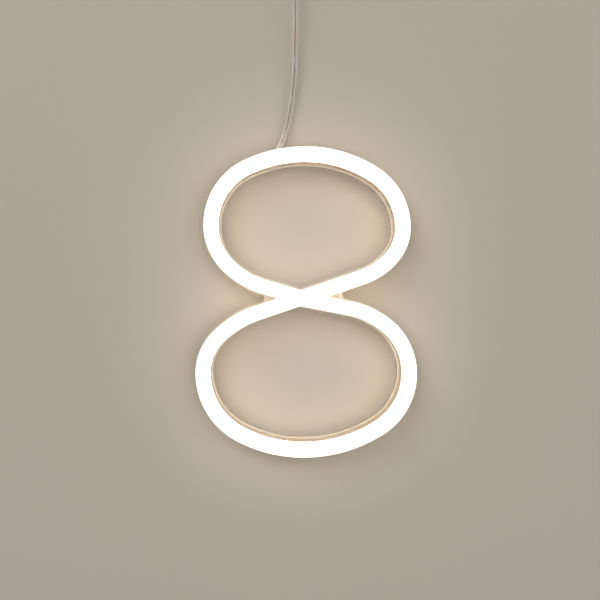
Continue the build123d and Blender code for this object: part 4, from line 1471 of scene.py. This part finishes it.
@dataclass(frozen=True)
class BackPlate:
    """The clear plate with its adhesives and the gland in its slot."""

    bond_thinned: float = 0.6
    adhesive: ClearMoulding = ClearMoulding(
        "clear_adhesive", (0.9, 0.9, 0.88), 0.3, cover=0.16, rim_cover=0.2
    )
    sheet: CutAcrylic = CutAcrylic("cut_acrylic", (0.93, 0.87, 0.76), 0.06)
    dots: ClearMoulding = ClearMoulding(
        "adhesive_gel", (0.9, 0.91, 0.9), 0.22, cover=0.5, rim_cover=0.3, haze=1.2
    )
    gland: ClearMoulding = ClearMoulding(
        "gland_pvc", (0.95, 0.89, 0.77), 0.2, cover=0.24, rim_cover=0.5
    )

    def _bond(self, parts: Parts) -> bpy.types.Object:
        """Makes the adhesive line under the flex, with no face in one plane with another clear one.

        Args:
            parts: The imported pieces.

        Returns:
            The line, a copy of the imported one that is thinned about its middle.
        """
        mesh = parts.nodes["channel_bond"].data.copy()
        middle = sum(corner[1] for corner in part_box("channel_bond")) / 2
        for vertex in mesh.vertices:
            vertex.co.y = middle + self.bond_thinned * (vertex.co.y - middle)
        bond = linked("bond_line", mesh)
        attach(bond, SIGN_BODY)
        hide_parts("channel_bond")
        return bond

    def build(self, parts: Parts) -> None:
        """Makes the bond and dresses it and the rest.

        Args:
            parts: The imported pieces.
        """
        self.adhesive.dress(self._bond(parts))
        parts.dress(self.sheet, "back_plate")
        parts.dress(self.dots, "mounting_dots")
        parts.dress(self.gland, "cord_gland")


@dataclass(frozen=True)
class WallHook:
    """The clear adhesive hook that carries the coil."""

    hook: ClearMoulding = ClearMoulding(
        "clear_hook", (0.92, 0.93, 0.92), 0.08, cover=0.2, rim_cover=0.5, haze=5.0, index=1.53
    )
    pad: ClearMoulding = ClearMoulding(
        "hook_pad_gel", (0.9, 0.91, 0.9), 0.25, cover=0.45, rim_cover=0.3, haze=1.5
    )

    def build(self, parts: Parts) -> None:
        """Dresses the hook and its pad."""
        parts.dress(self.hook, "cord_hook")
        parts.dress(self.pad, "hook_pad")


@dataclass(frozen=True)
class InlineSwitch:
    """The rocker switch in the cord."""

    shell: MouldedPlastic = MouldedPlastic(
        "switch_shell", (0.83, 0.825, 0.79), 0.42, grain=0.2, grain_depth=0.018
    )
    rocker: MouldedPlastic = MouldedPlastic(
        "rocker_plastic", (0.74, 0.735, 0.7), 0.24, grain=0.5, grain_depth=0.004, mottle=0.03, coat=0.3
    )
    boot: MouldedPlastic = MouldedPlastic("boot_pvc", (0.78, 0.775, 0.74), 0.5, grain=0.3)
    pin: Metal = Metal("pin_steel", (0.62, 0.62, 0.63), 0.22, scratch=(0.08, 1.0, 1.0))
    bridge: Metal = Metal("contact_copper", (0.84, 0.47, 0.29), 0.28)
    contacts: Metal = Metal("contact_brass", (0.78, 0.58, 0.26), 0.28, scratch=(1.0, 0.08, 1.0))
    screws: Metal = Metal("zinc_screw", (0.6, 0.6, 0.61), 0.28, scratch=EVEN)
    wires: Metal = Metal("inner_wire", (0.8, 0.5, 0.32), 0.3)

    def build(self, parts: Parts) -> None:
        """Dresses the switch.

        Args:
            parts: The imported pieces.
        """
        parts.dress(self.shell, "switch_back_shell", "switch_front_shell")
        parts.dress(self.rocker, "switch_rocker")
        parts.dress(self.boot, "switch_boot_lower", "switch_boot_upper")
        parts.dress(self.pin, "rocker_pin")
        parts.dress(self.bridge, "rocker_contact")
        parts.dress(self.contacts, "fixed_contacts")
        parts.dress(self.screws, "switch_screws")
        parts.dress(self.wires, "switch_wires")


@dataclass(frozen=True)
class BarrelPlug:
    """The plug on the cord's end."""

    body: MouldedPlastic = MouldedPlastic("plug_pvc", (0.78, 0.775, 0.74), 0.5, grain=0.3)
    barrel: Metal = Metal(
        "nickel_barrel", (0.72, 0.7, 0.66), 0.16, scratch=(1.0, 1.0, 0.4), scratch_size=0.2, tarnish=0.08
    )
    insulator: MouldedPlastic = MouldedPlastic(
        "insulator", (0.04, 0.04, 0.042), 0.45, grain=0.2, grain_depth=0.01
    )
    socket: Metal = Metal("contact_tube", (0.74, 0.6, 0.34), 0.22)

    def build(self, parts: Parts) -> None:
        """Dresses the plug.

        Args:
            parts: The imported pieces.
        """
        parts.dress(self.body, "plug_boot", "plug_body")
        parts.dress(self.barrel, "plug_barrel")
        parts.dress(self.insulator, "plug_insulator")
        parts.dress(self.socket, "plug_socket")


def main() -> None:
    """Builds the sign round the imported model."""
    logging.basicConfig(level=logging.INFO, format="%(message)s")
    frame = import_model()
    parts = Parts(frame["nodes"])
    bpy.context.scene.view_settings.view_transform = "Standard"
    Viewpoint().build()
    Studio().build()
    Cord().build(CoilTie().build())
    for assembly in (Flex(), LightStrip(), BackPlate(), WallHook(), InlineSwitch(), BarrelPlug()):
        assembly.build(parts)
        log.info("built %s", type(assembly).__name__)
    bpy.context.view_layer.update()


if __name__ == "__main__":
    main()
